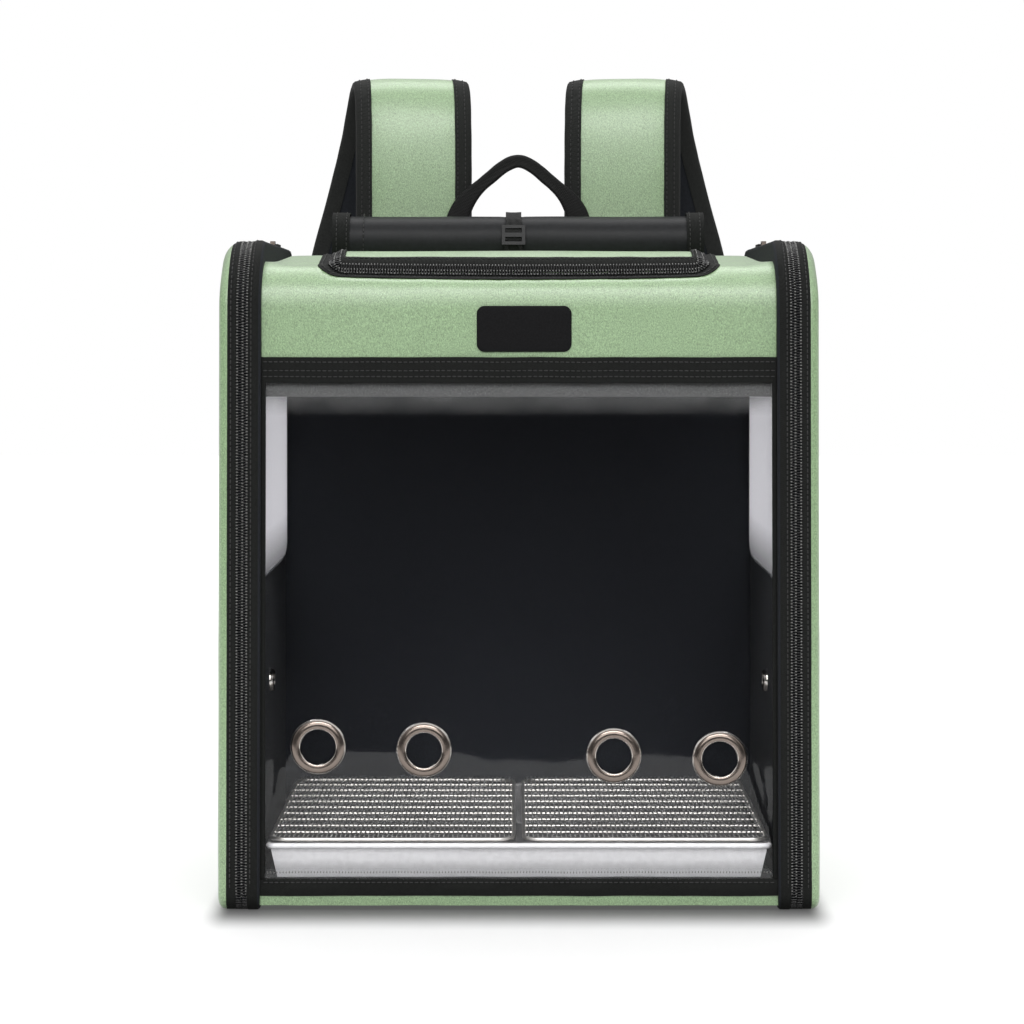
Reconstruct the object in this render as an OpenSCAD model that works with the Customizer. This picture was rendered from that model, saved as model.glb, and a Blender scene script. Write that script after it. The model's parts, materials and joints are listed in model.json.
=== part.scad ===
// Soft-sided bird carrier worn as a backpack. Millimetres, +Z up, window side towards -Y.
// Left is -X, as seen by a person who faces the window.

/* [Bag] */
// Width over both side doors
bag_w = 345; // [320:1:380]
// Depth of the side frames, front to back
bag_d = 260; // [235:1:300]
// Height of the side frames
bag_h = 387; // [370:1:430]
// Radius of the side frames at the upper front corner
shoulder_r = 40; // [32:1:46]
// Radius of the side frames at both lower corners
foot_r = 20; // [16:1:26]
// Radius of the side frames at the upper back corner
back_r = 26; // [18:1:32]

/* [Side frames and doors] */
// Width of the green edge of a door
edge_w = 4.5; // [3.5:0.1:7]
// Width of the zip tape on a door
tape_w = 6; // [4:0.1:9]
// Width of a zip's closed coil
coil_w = 7; // [5.6:0.1:8]
// Width of the frame between the zip and the cabin
frame_w = 7; // [5:0.1:12]
// Thickness of the side frames towards the middle of the opening
frame_t = 13; // [11:0.1:18]
// How far the door's board reaches into its frame past the zip
plug_depth = 6; // [3:0.1:7]
// Distance of the door's window from the front and back of the frame
side_window_margin = 29; // [25:1:60]
// Height of the lower edge of the door's window
side_window_z = 182; // [160:1:200]
// Height of the door's window
side_window_h = 152; // [120:1:160]
// Corner radius of the door's window
side_window_r = 18; // [8:1:24]
// Width of the tape round the door's window
side_binding_w = 9; // [6:0.5:14]
// Thickness of the clear film in front and in the doors
film_t = 0.8; // [0.5:0.1:1.5]

/* [Front] */
// How far the front panels lie behind the side frames
front_recess = 6; // [4:0.1:9]
// How far the top panel lies below the side frames
top_recess = 12; // [9:0.1:15]
// Thickness of the padded fabric
fabric_t = 4; // [3:0.1:6]
// Radius of the top panel's front shoulder
top_r = 26; // [24:0.5:32]
// Height of the lower edge of the green band above the window
band_z = 319; // [310:1:322]
// Height of the header tape under the green band
header_h = 13; // [9:0.1:20]
// Height of the reinforcing strip at the top of the window
strip_h = 8; // [5:0.1:14]
// Height of the base panel's underside above the floor
base_z = 4; // [3:0.1:8]
// Thickness of the base panel
base_t = 7; // [5:0.1:9]
// Height of the sill under the window
sill_h = 7.7; // [5:0.1:12]
// Depth of the sill, front to back
sill_d = 5; // [4:0.1:8]
// Width of the binding at each side of the window
window_binding_w = 3; // [2:0.1:6]
// Width of the blank patch on the green band
patch_w = 54.5; // [30:0.5:80]
// Height of the blank patch
patch_h = 26.5; // [15:0.5:27]

/* [Eyelets] */
// Bore radius of the four window eyelets
eyelet_r = 10; // [7:0.1:11]
// Outer radius of the four window eyelets
eyelet_flange_r = 16; // [14:0.1:19]
// Distance of the inner pair from the middle
eyelet_x_inner = 54.7; // [35:0.1:60]
// Distance of the outer pair from the middle
eyelet_x_outer = 115.8; // [100:0.1:124]
// Height of the eyelet row at the middle of the window
eyelet_z = 91.3; // [70:0.1:140]
// Fall of the eyelet row from the left eyelet to the right one
eyelet_fall = 7; // [0:0.1:10]
// Bore radius of the perch eyelet in each door
perch_r = 4; // [3:0.1:5]
// Outer radius of the perch eyelet in each door
perch_flange_r = 7.2; // [6.5:0.1:9]
// Distance of the perch eyelets behind the front of the frames
perch_back = 120; // [80:1:180]
// Height of the perch eyelets
perch_z = 120; // [90:1:150]

/* [Top door] */
// Half the width of the top door
top_door_hw = 107; // [90:1:112]
// Place of the top door's hinge behind the middle of the bag
top_hinge_y = 34; // [20:1:38]
// Slope of the shoulder where the door's zip runs, from upright
zip_angle = 61; // [50:1:64]
// Width of the tape on each side of the top zip's coil
top_tape_w = 9; // [7:0.1:10]

/* [Tray and grates] */
// Height of the tray with its rim
tray_h = 26.5; // [18:0.5:34]
// Wall thickness of the tray
tray_t = 0.8; // [0.6:0.1:1.5]
// Diameter of the tray's rolled rim
tray_bead = 3.4; // [2.4:0.1:5]
// Slope of the tray's walls, run for their whole height
tray_draft = 5; // [2:0.1:8]
// Diameter of the grates' frame rod
rod_d = 3.2; // [2.4:0.1:4]
// Diameter of the grates' ribs, which run from side to side
bar_d = 2.2; // [1.6:0.1:3]
// Number of ribs of a grate
bar_count = 9; // [6:1:14]
// Diameter of the grates' fine wires, which run front to back over the ribs
wire_d = 1.5; // [1.2:0.1:2]
// Number of fine wires of a grate
wire_count = 13; // [6:1:16]
// Corner radius of the grates
grate_r = 9; // [5:0.5:16]
// Gap between the two grates
grate_gap = 3; // [2:0.1:6]

/* [Shade, handle and straps] */
// Half the length of the rolled shade
shade_hw = 119; // [90:1:122]
// Radius of the rolled shade
shade_r = 15; // [12:0.1:17]
// Place of the roll behind the middle of the bag
shade_y = 92; // [84:1:96]
// Width of the webbing that ties the shade
tie_w = 10; // [6:0.5:16]
// Distance of the carry handle's feet from the middle
handle_x = 38; // [32:0.5:46]
// Height of the carry handle's top above the side frames
handle_rise = 64; // [50:1:75]
// Width of a padded shoulder strap
strap_w = 75; // [60:0.5:80]
// Thickness of a padded shoulder strap
strap_t = 11; // [8:0.5:13]
// Distance of the strap's middle from the middle of the bag, at the top
strap_x = 69; // [64:0.5:74]
// Height of the straps' top above the side frames
strap_rise = 116; // [100:1:140]
// How far the straps reach behind the back panel
strap_reach = 76; // [68:1:90]
// Width of the straps' lower webbing
webbing_w = 25; // [20:0.5:30]
// Thickness of all webbing
webbing_t = 1.5; // [1:0.1:2]

/* [Hidden] */
$fn = 48;

// Colours as the photograph shows them
green = [0.56, 0.71, 0.50];
black = [0.09, 0.09, 0.10];
dark = [0.12, 0.13, 0.15];
grey = [0.36, 0.36, 0.36];
clear = [0.80, 0.85, 0.88, 0.25];
steel = [0.75, 0.73, 0.71];
nickel = [0.62, 0.58, 0.54];

// General clearances
gap = 0.3;             // between pieces that move past each other, or lie on each other
coil_gap = 1;          // between the two halves of a zip, where a slider's post runs
door_lift = 0.5;       // between a side door's lowest edge and the floor
big = 1000;            // longer than anything here

// Planes across the bag, for the right side
x_out = bag_w / 2;
x_tape = x_out - edge_w;
x_coil = x_tape - tape_w;
x_split = x_coil - coil_w / 2;
x_frame = x_coil - coil_w;
x_in = x_frame - frame_w;
x_plug = x_split - plug_depth;

// Planes along the bag and up it
y_front = -bag_d / 2;
y_back = bag_d / 2;
y_window = y_front + front_recess;
z_top = bag_h - top_recess;
y_shoulder = y_window + top_r;
z_shoulder = z_top - top_r;
z_floor = base_z + base_t;
z_sill = z_floor + sill_h;
z_header = band_z - header_h;
back_t = frame_t - gap;
y_cabin_back = y_back - back_t;

// Everything is moved along Y so that the box round the whole object is centred on the origin
y_shift = -strap_reach / 2;

// Zip parts
coil_t = 2.4;          // thickness of a coil
groove_t = 5;          // depth of the groove under a side coil
tape_t = 0.8;          // thickness of zip tape
zip_end = 36;          // where a side zip ends, before the back of the frame
coil_half = (coil_w - coil_gap) / 2;
hinge_y = y_back + 1.5;
slider_l = 11;
slider_plate = 1.3;
slider_post = 0.5;
pull_l = 20;
pull_w = 6.4;
slider_travel_start = y_back - zip_end - slider_l;
top_slider_y = top_hinge_y + 5;
top_zip_end = top_slider_y + slider_l + 1;

// Shapes in the Y-Z plane, drawn as (y, z)

// A rectangle whose corners have their own radii: front foot, back foot, back top, front top.
module round_rect(y0, y1, z0, z1, r) {
    polygon([
        [y0 + r[0], z0], [y1 - r[1], z0], [y1, z0 + r[1]], [y1, z1 - r[2]],
        [y1 - r[2], z1], [y0 + r[3], z1], [y0, z1 - r[3]], [y0, z0 + r[0]],
    ]);
    translate([y0 + r[0], z0 + r[0]]) circle(r[0]);
    translate([y1 - r[1], z0 + r[1]]) circle(r[1]);
    translate([y1 - r[2], z1 - r[2]]) circle(r[2]);
    translate([y0 + r[3], z1 - r[3]]) circle(r[3]);
}

// Outline of the side frames and doors, drawn in by inset
module side_outline(inset = 0) {
    round_rect(
        y_front + inset, y_back - inset, inset, bag_h - inset,
        [foot_r - inset, foot_r - inset, back_r - inset, shoulder_r - inset]
    );
}

// Outline of the door's window, drawn in by inset
module side_window_outline(inset = 0) {
    r = side_window_r - inset;
    round_rect(
        y_front + side_window_margin + inset, y_back - side_window_margin - inset,
        side_window_z + inset, side_window_z + side_window_h - inset, [r, r, r, r]
    );
}

// Stands a Y-Z shape up between two planes across the bag
module across(x0, x1) {
    translate([x0, 0, 0]) rotate([90, 0, 90]) linear_extrude(x1 - x0) children();
}

// A ring between two insets of the side outline
module side_ring(x0, x1, outer, inner) {
    across(x0, x1) difference() {
        side_outline(outer);
        side_outline(inner);
    }
}

// Side of the bag: draws the right one, or its mirror image for the left
module on_side(name) {
    if (name == "right") children();
    else mirror([1, 0, 0]) children();
}

// Profile of the top panel: upright green band, shoulder and top, drawn in by inset
module top_outline(inset = 0) {
    r = top_r - inset;
    y0 = y_window + inset;
    z1 = z_top - inset;
    polygon([[y0, band_z - 1], [y_back, band_z - 1], [y_back, z1], [y0 + r, z1], [y0, z1 - r]]);
    translate([y_shoulder, z_shoulder]) circle(r);
}

// Cuts a door's piece clear of the floor
module above_floor() {
    intersection() {
        children();
        translate([-big / 2, -big / 2, door_lift]) cube(big);
    }
}

// Sheet that follows the top panel between two insets, cut to where the panel ends
module top_sheet(x0, x1, outer, inner) {
    intersection() {
        across(x0, x1) difference() {
            top_outline(outer);
            top_outline(inner);
        }
        translate([-big / 2, -big / 2, band_z]) cube([big, big / 2 + y_cabin_back, big]);
    }
}

// Wedge over the shoulder and the top, from an angle on the shoulder back to a plane
module shoulder_wedge(x0, x1, angle, y_end) {
    across(x0, x1) polygon([
        [y_shoulder, z_shoulder],
        [y_shoulder - 3 * top_r * cos(angle), z_shoulder + 3 * top_r * sin(angle)],
        [y_end, z_shoulder + 3 * top_r * sin(angle)],
        [y_end, z_shoulder],
    ]);
}

// Distance along the shoulder as an angle
function shoulder_angle(length) = length / top_r * 180 / PI;

// Zone inside the top door's split line, drawn in by inset (a negative inset draws it out)
module door_zone(inset, y_end) {
    shoulder_wedge(
        -top_door_hw + inset, top_door_hw - inset, zip_angle + shoulder_angle(inset), y_end
    );
}

// U-shaped band round the top door, between two distances inside its split line, back to y_end
module top_band(outer, inner, inset0, inset1, y_end) {
    difference() {
        intersection() {
            top_sheet(-top_door_hw + inset0, top_door_hw - inset0, outer, inner);
            door_zone(inset0, y_end);
        }
        door_zone(inset1, y_end + 1);
    }
}

// Padded body

module back_panel() {
    // Foam-lined board between the frames, with the sewn edge that carries the handle and the straps
    color(dark) across(-x_in, x_in)
        round_rect(y_cabin_back, y_back, base_z, z_top, [2, 2, fabric_t, 2]);
}

module back_padding() {
    // Two channelled pads of air mesh on the wearer's side
    pad_w = 2 * x_in - 120;
    pad_h = 110;
    pad_t = 7;
    for (z0 = [48, 48 + pad_h + 24])
        color(black) for (k = [0:3])
            translate([-pad_w / 2 + k * pad_w / 4, y_back + gap, z0])
                hull() {
                    cube([pad_w / 4, 0.8, pad_h]);
                    translate([4, 0, 4]) cube([pad_w / 4 - 8, pad_t - 3, pad_h - 8]);
                    translate([9, 0, 9]) cube([pad_w / 4 - 18, pad_t, pad_h - 18]);
                }
}

module base_panel() {
    // Stiffened floor; its front edge is the green strip under the window
    color(green) translate([-x_in, y_window, base_z])
        cube([2 * x_in, y_cabin_back - y_window, base_t]);
}

module front_sill() {
    color(black) translate([-x_in, y_window - 0.6, z_floor])
        cube([2 * x_in, sill_d, sill_h]);
}

module top_panel() {
    // Green band, shoulder and top in one sheet, with the door's opening
    color(green) difference() {
        top_sheet(-x_in, x_in, 0, fabric_t);
        door_zone(-coil_gap / 2, top_hinge_y + gap);
    }
}

module header_tape() {
    color(black) translate([-x_in, y_window - 0.6, z_header])
        cube([2 * x_in, fabric_t, header_h]);
}

// Front window

function eyelet_centres() = [
    for (x = [-eyelet_x_outer, -eyelet_x_inner, eyelet_x_inner, eyelet_x_outer])
        [x, eyelet_z - x / (2 * eyelet_x_outer) * eyelet_fall]
];

module window_panel() {
    // Clear film with a hole for each eyelet
    color(clear) difference() {
        translate([-x_in, y_window + 0.4, z_sill])
            cube([2 * x_in, film_t, z_header - z_sill]);
        for (c = eyelet_centres())
            translate([c[0], y_window - 5, c[1]]) rotate([-90, 0, 0]) cylinder(r = eyelet_r + 1.4, h = 10);
    }
}

module window_strip() {
    color(grey) translate([-x_in + window_binding_w, y_window + 0.4 + film_t, z_header - 1.5 - strip_h])
        cube([2 * (x_in - window_binding_w), 1, strip_h]);
}

module window_bindings() {
    color(black) for (s = [-1, 1])
        translate([s > 0 ? x_in - window_binding_w : -x_in, y_window - 0.6, z_sill])
            cube([window_binding_w, 1, z_header - z_sill]);
}

module eyelet_shell(r, f, t) {
    // Barrel with a domed flange, made by turning; the bore stays a true cylinder
    bead = (f - r) / 2;
    h = bead * 0.62;
    rotate_extrude() polygon([
        [r, -h * 0.7], [r + bead * 0.28, -h], [r + bead * 0.72, -h * 0.94], [f - 0.5, -h * 0.5], [f, 0],
        [f - 0.8, 0], [f - 1.3, -h * 0.25], [r + bead * 0.8, -h * 0.5], [r + 1, -h * 0.45],
        [r + 1, t + 1.2], [r, t + 1.2],
    ]);
}

module washer_ring(r, f) {
    // Domed washer that the barrel is set against
    rotate_extrude() polygon([
        [r, 0], [f, 0], [f, 0.5], [f - 1.2, 1.1], [r + 0.8, 1.1], [r, 0.7],
    ]);
}

module window_eyelets() {
    color(nickel) for (c = eyelet_centres())
        translate([c[0], y_window + 0.4, c[1]]) rotate([-90, 0, 0])
            eyelet_shell(eyelet_r, eyelet_flange_r, film_t);
}

module eyelet_washers() {
    color(nickel) for (c = eyelet_centres())
        translate([c[0], y_window + 0.4 + film_t, c[1]]) rotate([-90, 0, 0])
            washer_ring(eyelet_r + 1 + 0.05, eyelet_flange_r - 1);
}

module blank_patch() {
    // Plain rubber patch with nothing on it
    color(black) translate([3, y_window, band_z + patch_h / 2 + 3.4]) rotate([90, 0, 0])
        linear_extrude(1.2) {
            r = 4;
            square([patch_w - 2 * r, patch_h], center = true);
            square([patch_w, patch_h - 2 * r], center = true);
            for (sx = [-1, 1], sy = [-1, 1])
                translate([sx * (patch_w / 2 - r), sy * (patch_h / 2 - r)]) circle(r);
        }
}

// Side frames, doors and their zips

// Keeps the part of a side zip that has teeth: along the top, the front and the foot
module zip_run() {
    intersection() {
        children();
        translate([0, y_front - 5, -5]) cube([big / 2, bag_d - zip_end + 5, bag_h + 10]);
    }
}

module side_frame() {
    color(black) {
        side_ring(x_in, x_frame, 0, frame_t);
        side_ring(x_frame, x_split - coil_gap / 2 + 0.2, groove_t, frame_t);
        difference() {
            side_ring(x_frame, x_split - coil_gap / 2 + 0.2, 0, groove_t);
            translate([0, y_front - 5, -5]) cube([big / 2, bag_d - zip_end + 5 + gap, bag_h + 10]);
        }
    }
}

module frame_coil() {
    color(black) zip_run() side_ring(x_frame, x_frame + coil_half, 0, coil_t);
}

module door_panel() {
    color(green) above_floor() difference() {
        union() {
            hull() {
                side_ring_plate(x_tape, x_tape + 1.2, 0);
                side_ring_plate(x_out - 1.2, x_out - 1.1, 1.6);
                side_ring_plate(x_out - 0.1, x_out, 6);
            }
            across(x_coil, x_tape) side_outline(tape_t);
            across(x_split + coil_gap / 2, x_coil) side_outline(groove_t);
            across(x_plug, x_split + coil_gap / 2) side_outline(frame_t + 1);
            difference() {
                across(x_split + coil_gap / 2, x_coil) side_outline(0);
                translate([0, y_front - 5, -5]) cube([big / 2, bag_d - zip_end + 5 + gap, bag_h + 10]);
            }
        }
        across(x_plug + 1.5, x_out + 1) side_window_outline(0);
        across(x_plug - 1, x_plug + 2) side_window_outline(4);
        translate([x_plug - 1, y_front + perch_back, perch_z]) rotate([0, 90, 0])
            cylinder(r = perch_r + 1.05, h = 40);
        translate([x_plug + 2, y_front + perch_back, perch_z]) rotate([0, 90, 0])
            cylinder(r = perch_flange_r + 2, h = 40);
    }
}

module side_ring_plate(x0, x1, inset) {
    $fn = 32;
    across(x0, x1) side_outline(inset);
}

module door_tape() {
    color(black) above_floor() side_ring(x_coil, x_tape, 0, tape_t);
}

module door_coil() {
    color(black) above_floor() zip_run() side_ring(x_coil - coil_half, x_coil, 0, coil_t);
}

module door_window() {
    color(clear) across(x_plug + 1.5, x_plug + 1.5 + film_t) side_window_outline(gap);
}

module window_binding() {
    color(black) across(x_out, x_out + 0.9) difference() {
        side_window_outline(-side_binding_w);
        side_window_outline(0.5);
    }
}

module perch_eyelet() {
    // Small eyelet that takes a perch screw, with its washer outside
    color(nickel) translate([x_plug, y_front + perch_back, perch_z]) rotate([0, 90, 0])
        eyelet_shell(perch_r, perch_flange_r, 0.9);
    color(nickel) translate([x_plug + 2, y_front + perch_back, perch_z]) rotate([0, 90, 0])
        washer_ring(perch_r + 1.05, perch_flange_r - 0.4);
}

module hinge_tape() {
    // Sewn tape that the door turns on, along its back edge
    color(black) translate([x_split + coil_gap / 2, y_back, back_r + foot_r])
        cube([x_tape - x_split - coil_gap / 2, 1.2, bag_h - 2 * (back_r + foot_r)]);
}

// Top door and its zip

module top_frame_tape() {
    color(black) top_band(-tape_t, 0, -top_tape_w - coil_w / 2, -coil_gap / 2, top_zip_end);
}

module top_frame_coil() {
    color(black) top_band(-tape_t - coil_t, -tape_t, -coil_w / 2, -coil_gap / 2, top_zip_end);
}

module top_door_panel() {
    color(green) intersection() {
        top_sheet(-x_in, x_in, 0, fabric_t);
        door_zone(coil_gap / 2, top_hinge_y - gap);
    }
}

module top_door_tape() {
    color(black) top_band(-tape_t, 0, coil_gap / 2, top_tape_w + coil_w / 2, top_hinge_y - gap);
}

module top_door_coil() {
    color(black) top_band(-tape_t - coil_t, -tape_t, coil_gap / 2, coil_w / 2, top_hinge_y - gap);
}

module top_hinge_tape() {
    color(black) translate([-top_door_hw + 14, top_hinge_y - 11, z_top])
        cube([2 * top_door_hw - 28, 10, 0.7]);
}

// Zip sliders; drawn with the travel along Y, the coil's top at z = 0 and its middle at x = 0
bridge_w = 3;
bridge_y = [2, 9.6];
bridge_wall = 1.4;
pull_pin_r = 0.85;
pull_pin_y = bridge_y[0] + bridge_wall + pull_pin_r + gap;
pull_pin_z = gap + slider_plate + gap + pull_pin_r;
bridge_h = 2 * (pull_pin_r + gap) + bridge_wall;

module slider_body(under) {
    // Upper plate with its bridge, post and, where there is room under the coil, lower plate
    translate([-4.5, 0, gap]) cube([9, slider_l, slider_plate]);
    translate([-slider_post / 2, 0, -coil_t - gap]) cube([slider_post, 3, coil_t + 2 * gap]);
    if (under) translate([-3, 0, -coil_t - gap - slider_plate]) cube([6, slider_l, slider_plate]);
    translate([-bridge_w / 2, 0, gap + slider_plate]) difference() {
        translate([0, bridge_y[0], 0]) cube([bridge_w, bridge_y[1] - bridge_y[0], bridge_h]);
        translate([-1, bridge_y[0] + bridge_wall, 0])
            cube([bridge_w + 2, bridge_y[1] - bridge_y[0] - 2 * bridge_wall, bridge_h - bridge_wall]);
    }
}

// Pull tab: a round pin through the bridge, two arms beside it and a flat tab that lies back along the zip
module pull_tab() {
    // The arms reach past the bridge's far corner as the tab swings over it
    reach = norm([bridge_y[1] - pull_pin_y, gap + slider_plate + bridge_h - pull_pin_z]) + gap;
    arm_w = (pull_w - bridge_w) / 2 - gap;
    translate([0, pull_pin_y, pull_pin_z]) {
        rotate([0, 90, 0]) cylinder(r = pull_pin_r, h = pull_w, center = true, $fn = 24);
        for (s = [0, 1]) mirror([s, 0, 0])
            translate([pull_w / 2 - arm_w, 0, -pull_pin_r]) cube([arm_w, reach + 1, 2 * pull_pin_r]);
        difference() {
            translate([-pull_w / 2, reach, -pull_pin_r]) cube([pull_w, pull_l, 2 * pull_pin_r]);
            translate([0, reach + pull_l - 3, -pull_pin_r - 1]) cylinder(r = 1.2, h = 2 * pull_pin_r + 2);
        }
    }
}

module side_zip_slider() {
    color(nickel) translate([x_split, slider_travel_start, bag_h]) slider_body(true);
}

module side_zip_pull() {
    color(black) translate([x_split, slider_travel_start, bag_h]) pull_tab();
}

module top_zip_slider() {
    color(nickel) translate([top_door_hw, top_slider_y, z_top + tape_t + coil_t]) slider_body(false);
}

module top_zip_pull() {
    color(black) translate([top_door_hw, top_slider_y, z_top + tape_t + coil_t]) pull_tab();
}

// Rolled shade

shade_z = z_top + webbing_t + 2 * gap + shade_r;
cloth_t = 1.5;
tie_x = -3;

// Spiral of cloth: points at a growing radius, one side out and the other back
function spiral_side(r0, r1, turns, offset, n) = [
    for (k = [0:n]) let (a = -90 + 360 * turns * (k / n - 1), r = r0 + (r1 - r0) * k / n + offset)
        [shade_y + r * cos(a), shade_z + r * sin(a)]
];

// Flat end of the cloth, from under the roll back to its seam in front of the handle
module shade_tail(margin = 0) {
    y_seam = handle_y - handle_depth / 2 - 2;
    polygon([
        [shade_y - 0.5, shade_z - shade_r - margin], [y_seam, z_top + gap / 2 - margin],
        [y_seam, z_top + gap / 2 + cloth_t + margin], [shade_y - 0.5, shade_z - shade_r + cloth_t + margin],
    ]);
}

// Loop of webbing or binding round the roll, cut where the flat end passes through it
module roll_loop(x, w, t) {
    difference() {
        translate([x, shade_y, shade_z]) rotate([0, 90, 0]) difference() {
            cylinder(r = shade_r + gap + t, h = w, center = true);
            cylinder(r = shade_r + gap, h = w + 2, center = true);
        }
        across(x - w, x + w) shade_tail(gap);
    }
}

module shade_roll() {
    turns = 4;
    n = 72;
    outer = spiral_side(4, shade_r, turns, 0, n);
    inner = spiral_side(4, shade_r, turns, -cloth_t, n);
    color(black) across(-shade_hw, shade_hw) {
        polygon(concat(outer, [for (k = [n:-1:0]) inner[k]]));
        shade_tail();
    }
}

module shade_end_bindings() {
    binding_w = 10;
    color(black) for (s = [-1, 1]) roll_loop(s * (shade_hw - binding_w / 2), binding_w, 0.6);
}

module shade_tie() {
    // Webbing loop round the roll
    color(black) roll_loop(tie_x, tie_w, webbing_t);
}

module tie_buckle() {
    // Three-bar buckle on the tie, at the front of the roll
    color(black) translate([tie_x, shade_y, shade_z]) rotate([-12, 0, 0])
        translate([0, -shade_r - webbing_t - 2 * gap, 0]) rotate([90, 0, 0]) linear_extrude(2) difference() {
            square([tie_w + 5, 13], center = true);
            for (s = [-1, 1]) translate([0, s * 2.9]) square([tie_w + 0.6, 3], center = true);
        }
}

// Sweeps: rings of points along a path, closed with flat ends

function unit(v) = v / norm(v);

// Smooth curve through hand-chosen points, with steps points for each stretch
function spline(p, steps) = let (n = len(p) - 1) concat(
    [for (i = [0:n - 1], k = [0:steps - 1])
        let (
            t = k / steps,
            a = p[max(i - 1, 0)], b = p[i], c = p[i + 1], d = p[min(i + 2, n)]
        )
        0.5 * (2 * b + (c - a) * t + (2 * a - 5 * b + 4 * c - d) * t * t + (3 * b - a - 3 * c + d) * t * t * t)],
    [p[n]]
);

// Section of a flat band: width w along one axis, thickness t along the other, with softened edges
function band_section(w, t) = let (e = min(t * 0.3, w / 4), m = t * 0.5) [
    [-w / 2 + e, -m], [w / 2 - e, -m], [w / 2, -m + e], [w / 2, m - e],
    [w / 2 - e, m], [-w / 2 + e, m], [-w / 2, m - e], [-w / 2, -m + e],
];

// Sweeps a band along a path; side is the direction that the width keeps to
module band_sweep(path, widths, thicknesses, side) {
    n = len(path);
    m = 8;
    points = [
        for (i = [0:n - 1])
            let (
                t = unit(path[min(i + 1, n - 1)] - path[max(i - 1, 0)]),
                u = unit(side - (side * t) * t),
                v = cross(t, u)
            )
            for (s = band_section(widths[i], thicknesses[i])) path[i] + s[0] * u + s[1] * v
    ];
    faces = concat(
        [[for (k = [0:m - 1]) k]],
        [for (i = [0:n - 2], k = [0:m - 1]) let (a = i * m + k, b = i * m + (k + 1) % m) [a, a + m, b]],
        [for (i = [0:n - 2], k = [0:m - 1]) let (a = i * m + k, b = i * m + (k + 1) % m) [b, a + m, b + m]],
        [[for (k = [m - 1:-1:0]) (n - 1) * m + k]]
    );
    polyhedron(points, faces, convexity = 6);
}

// Carry handle: flat webbing at its feet, folded to a narrow grip at the top
handle_y = y_back - 5;
handle_depth = 5;
handle_foot_z = z_top + gap;
// Upright stretch above each foot
handle_upright = 4;
handle_points = [
    [-handle_x - 8, handle_y, handle_foot_z + handle_upright], [-handle_x, handle_y, bag_h + 26],
    [-handle_x + 17, handle_y, bag_h + 46], [0, handle_y, bag_h + handle_rise - 5], [handle_x - 17, handle_y, bag_h + 46],
    [handle_x, handle_y, bag_h + 26], [handle_x + 8, handle_y, handle_foot_z + handle_upright],
];

module carry_handle() {
    bend = spline(handle_points, 5);
    drop = [0, 0, handle_upright];
    path = concat([bend[0] - drop], bend, [bend[len(bend) - 1] - drop]);
    n = len(path) - 1;
    grip = [for (i = [0:n]) let (u = abs(2 * i / n - 1)) max(0, min(1, (u - 0.35) / 0.4))];
    color(black) band_sweep(
        path, [for (g = grip) handle_depth - 1.5 * g], [for (g = grip) 10 + 8 * g], [0, 1, 0]
    );
}

// Shoulder straps: up from the back panel, over, and down to the ladder lock
strap_y = y_back + gap + strap_t / 2;
strap_top_z = bag_h + strap_rise - strap_t / 2;
strap_back_y = y_back + strap_reach - strap_t / 2;
strap_points = [
    [strap_x, strap_y, bag_h - 42], [strap_x, strap_y, bag_h + 20], [strap_x, strap_y + 1, bag_h + 72],
    [strap_x + 1, strap_y + 10, strap_top_z - 8], [strap_x + 3, strap_y + 26, strap_top_z],
    [strap_x + 7, strap_y + 42, strap_top_z - 10], [strap_x + 14, strap_y + 52, bag_h + 66],
    [strap_x + 24, strap_back_y - 5, bag_h + 28], [strap_x + 37, strap_back_y, bag_h - 22],
    [strap_x + 44, strap_back_y - 3, bag_h - 90], [strap_x + 46, strap_back_y - 14, bag_h - 165],
    [strap_x + 48, strap_back_y - 30, bag_h - 240],
];

module shoulder_strap() {
    path = spline(strap_points, 4);
    n = len(path) - 1;
    taper = [for (i = [0:n]) max(0, (i / n - 0.86) / 0.14)];
    color(green) band_sweep(
        path, [for (k = taper) strap_w - (strap_w - 40) * k], [for (k = taper) strap_t - 3 * k], [1, 0, 0]
    );
}

// Ladder lock at the strap's lower end, in a plane that leans as the strap does
lock_x = strap_x + 49;
lock_y = strap_back_y - 33.5;
lock_z = bag_h - 258;
lock_h = 27;
lock_t = 4;
lock_lean = 12;
lock_side = lock_t / 2 + gap + webbing_t / 2;

// Places points given in the lock's plane, across its thickness and then up it
function lock_path(local) = [
    for (p = local) [
        lock_x, lock_y + p[0] * cos(lock_lean) + p[1] * sin(lock_lean),
        lock_z - p[0] * sin(lock_lean) + p[1] * cos(lock_lean),
    ]
];

module ladder_lock() {
    color(black) translate([lock_x, lock_y, lock_z]) rotate([-lock_lean, 0, 0]) rotate([90, 0, 0])
        translate([0, 0, -lock_t / 2]) linear_extrude(lock_t) difference() {
            square([webbing_w + 8, lock_h], center = true);
            translate([0, 6.5]) square([webbing_w + 1, 7], center = true);
            translate([0, -5]) square([webbing_w + 1, 5], center = true);
        }
}

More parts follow.
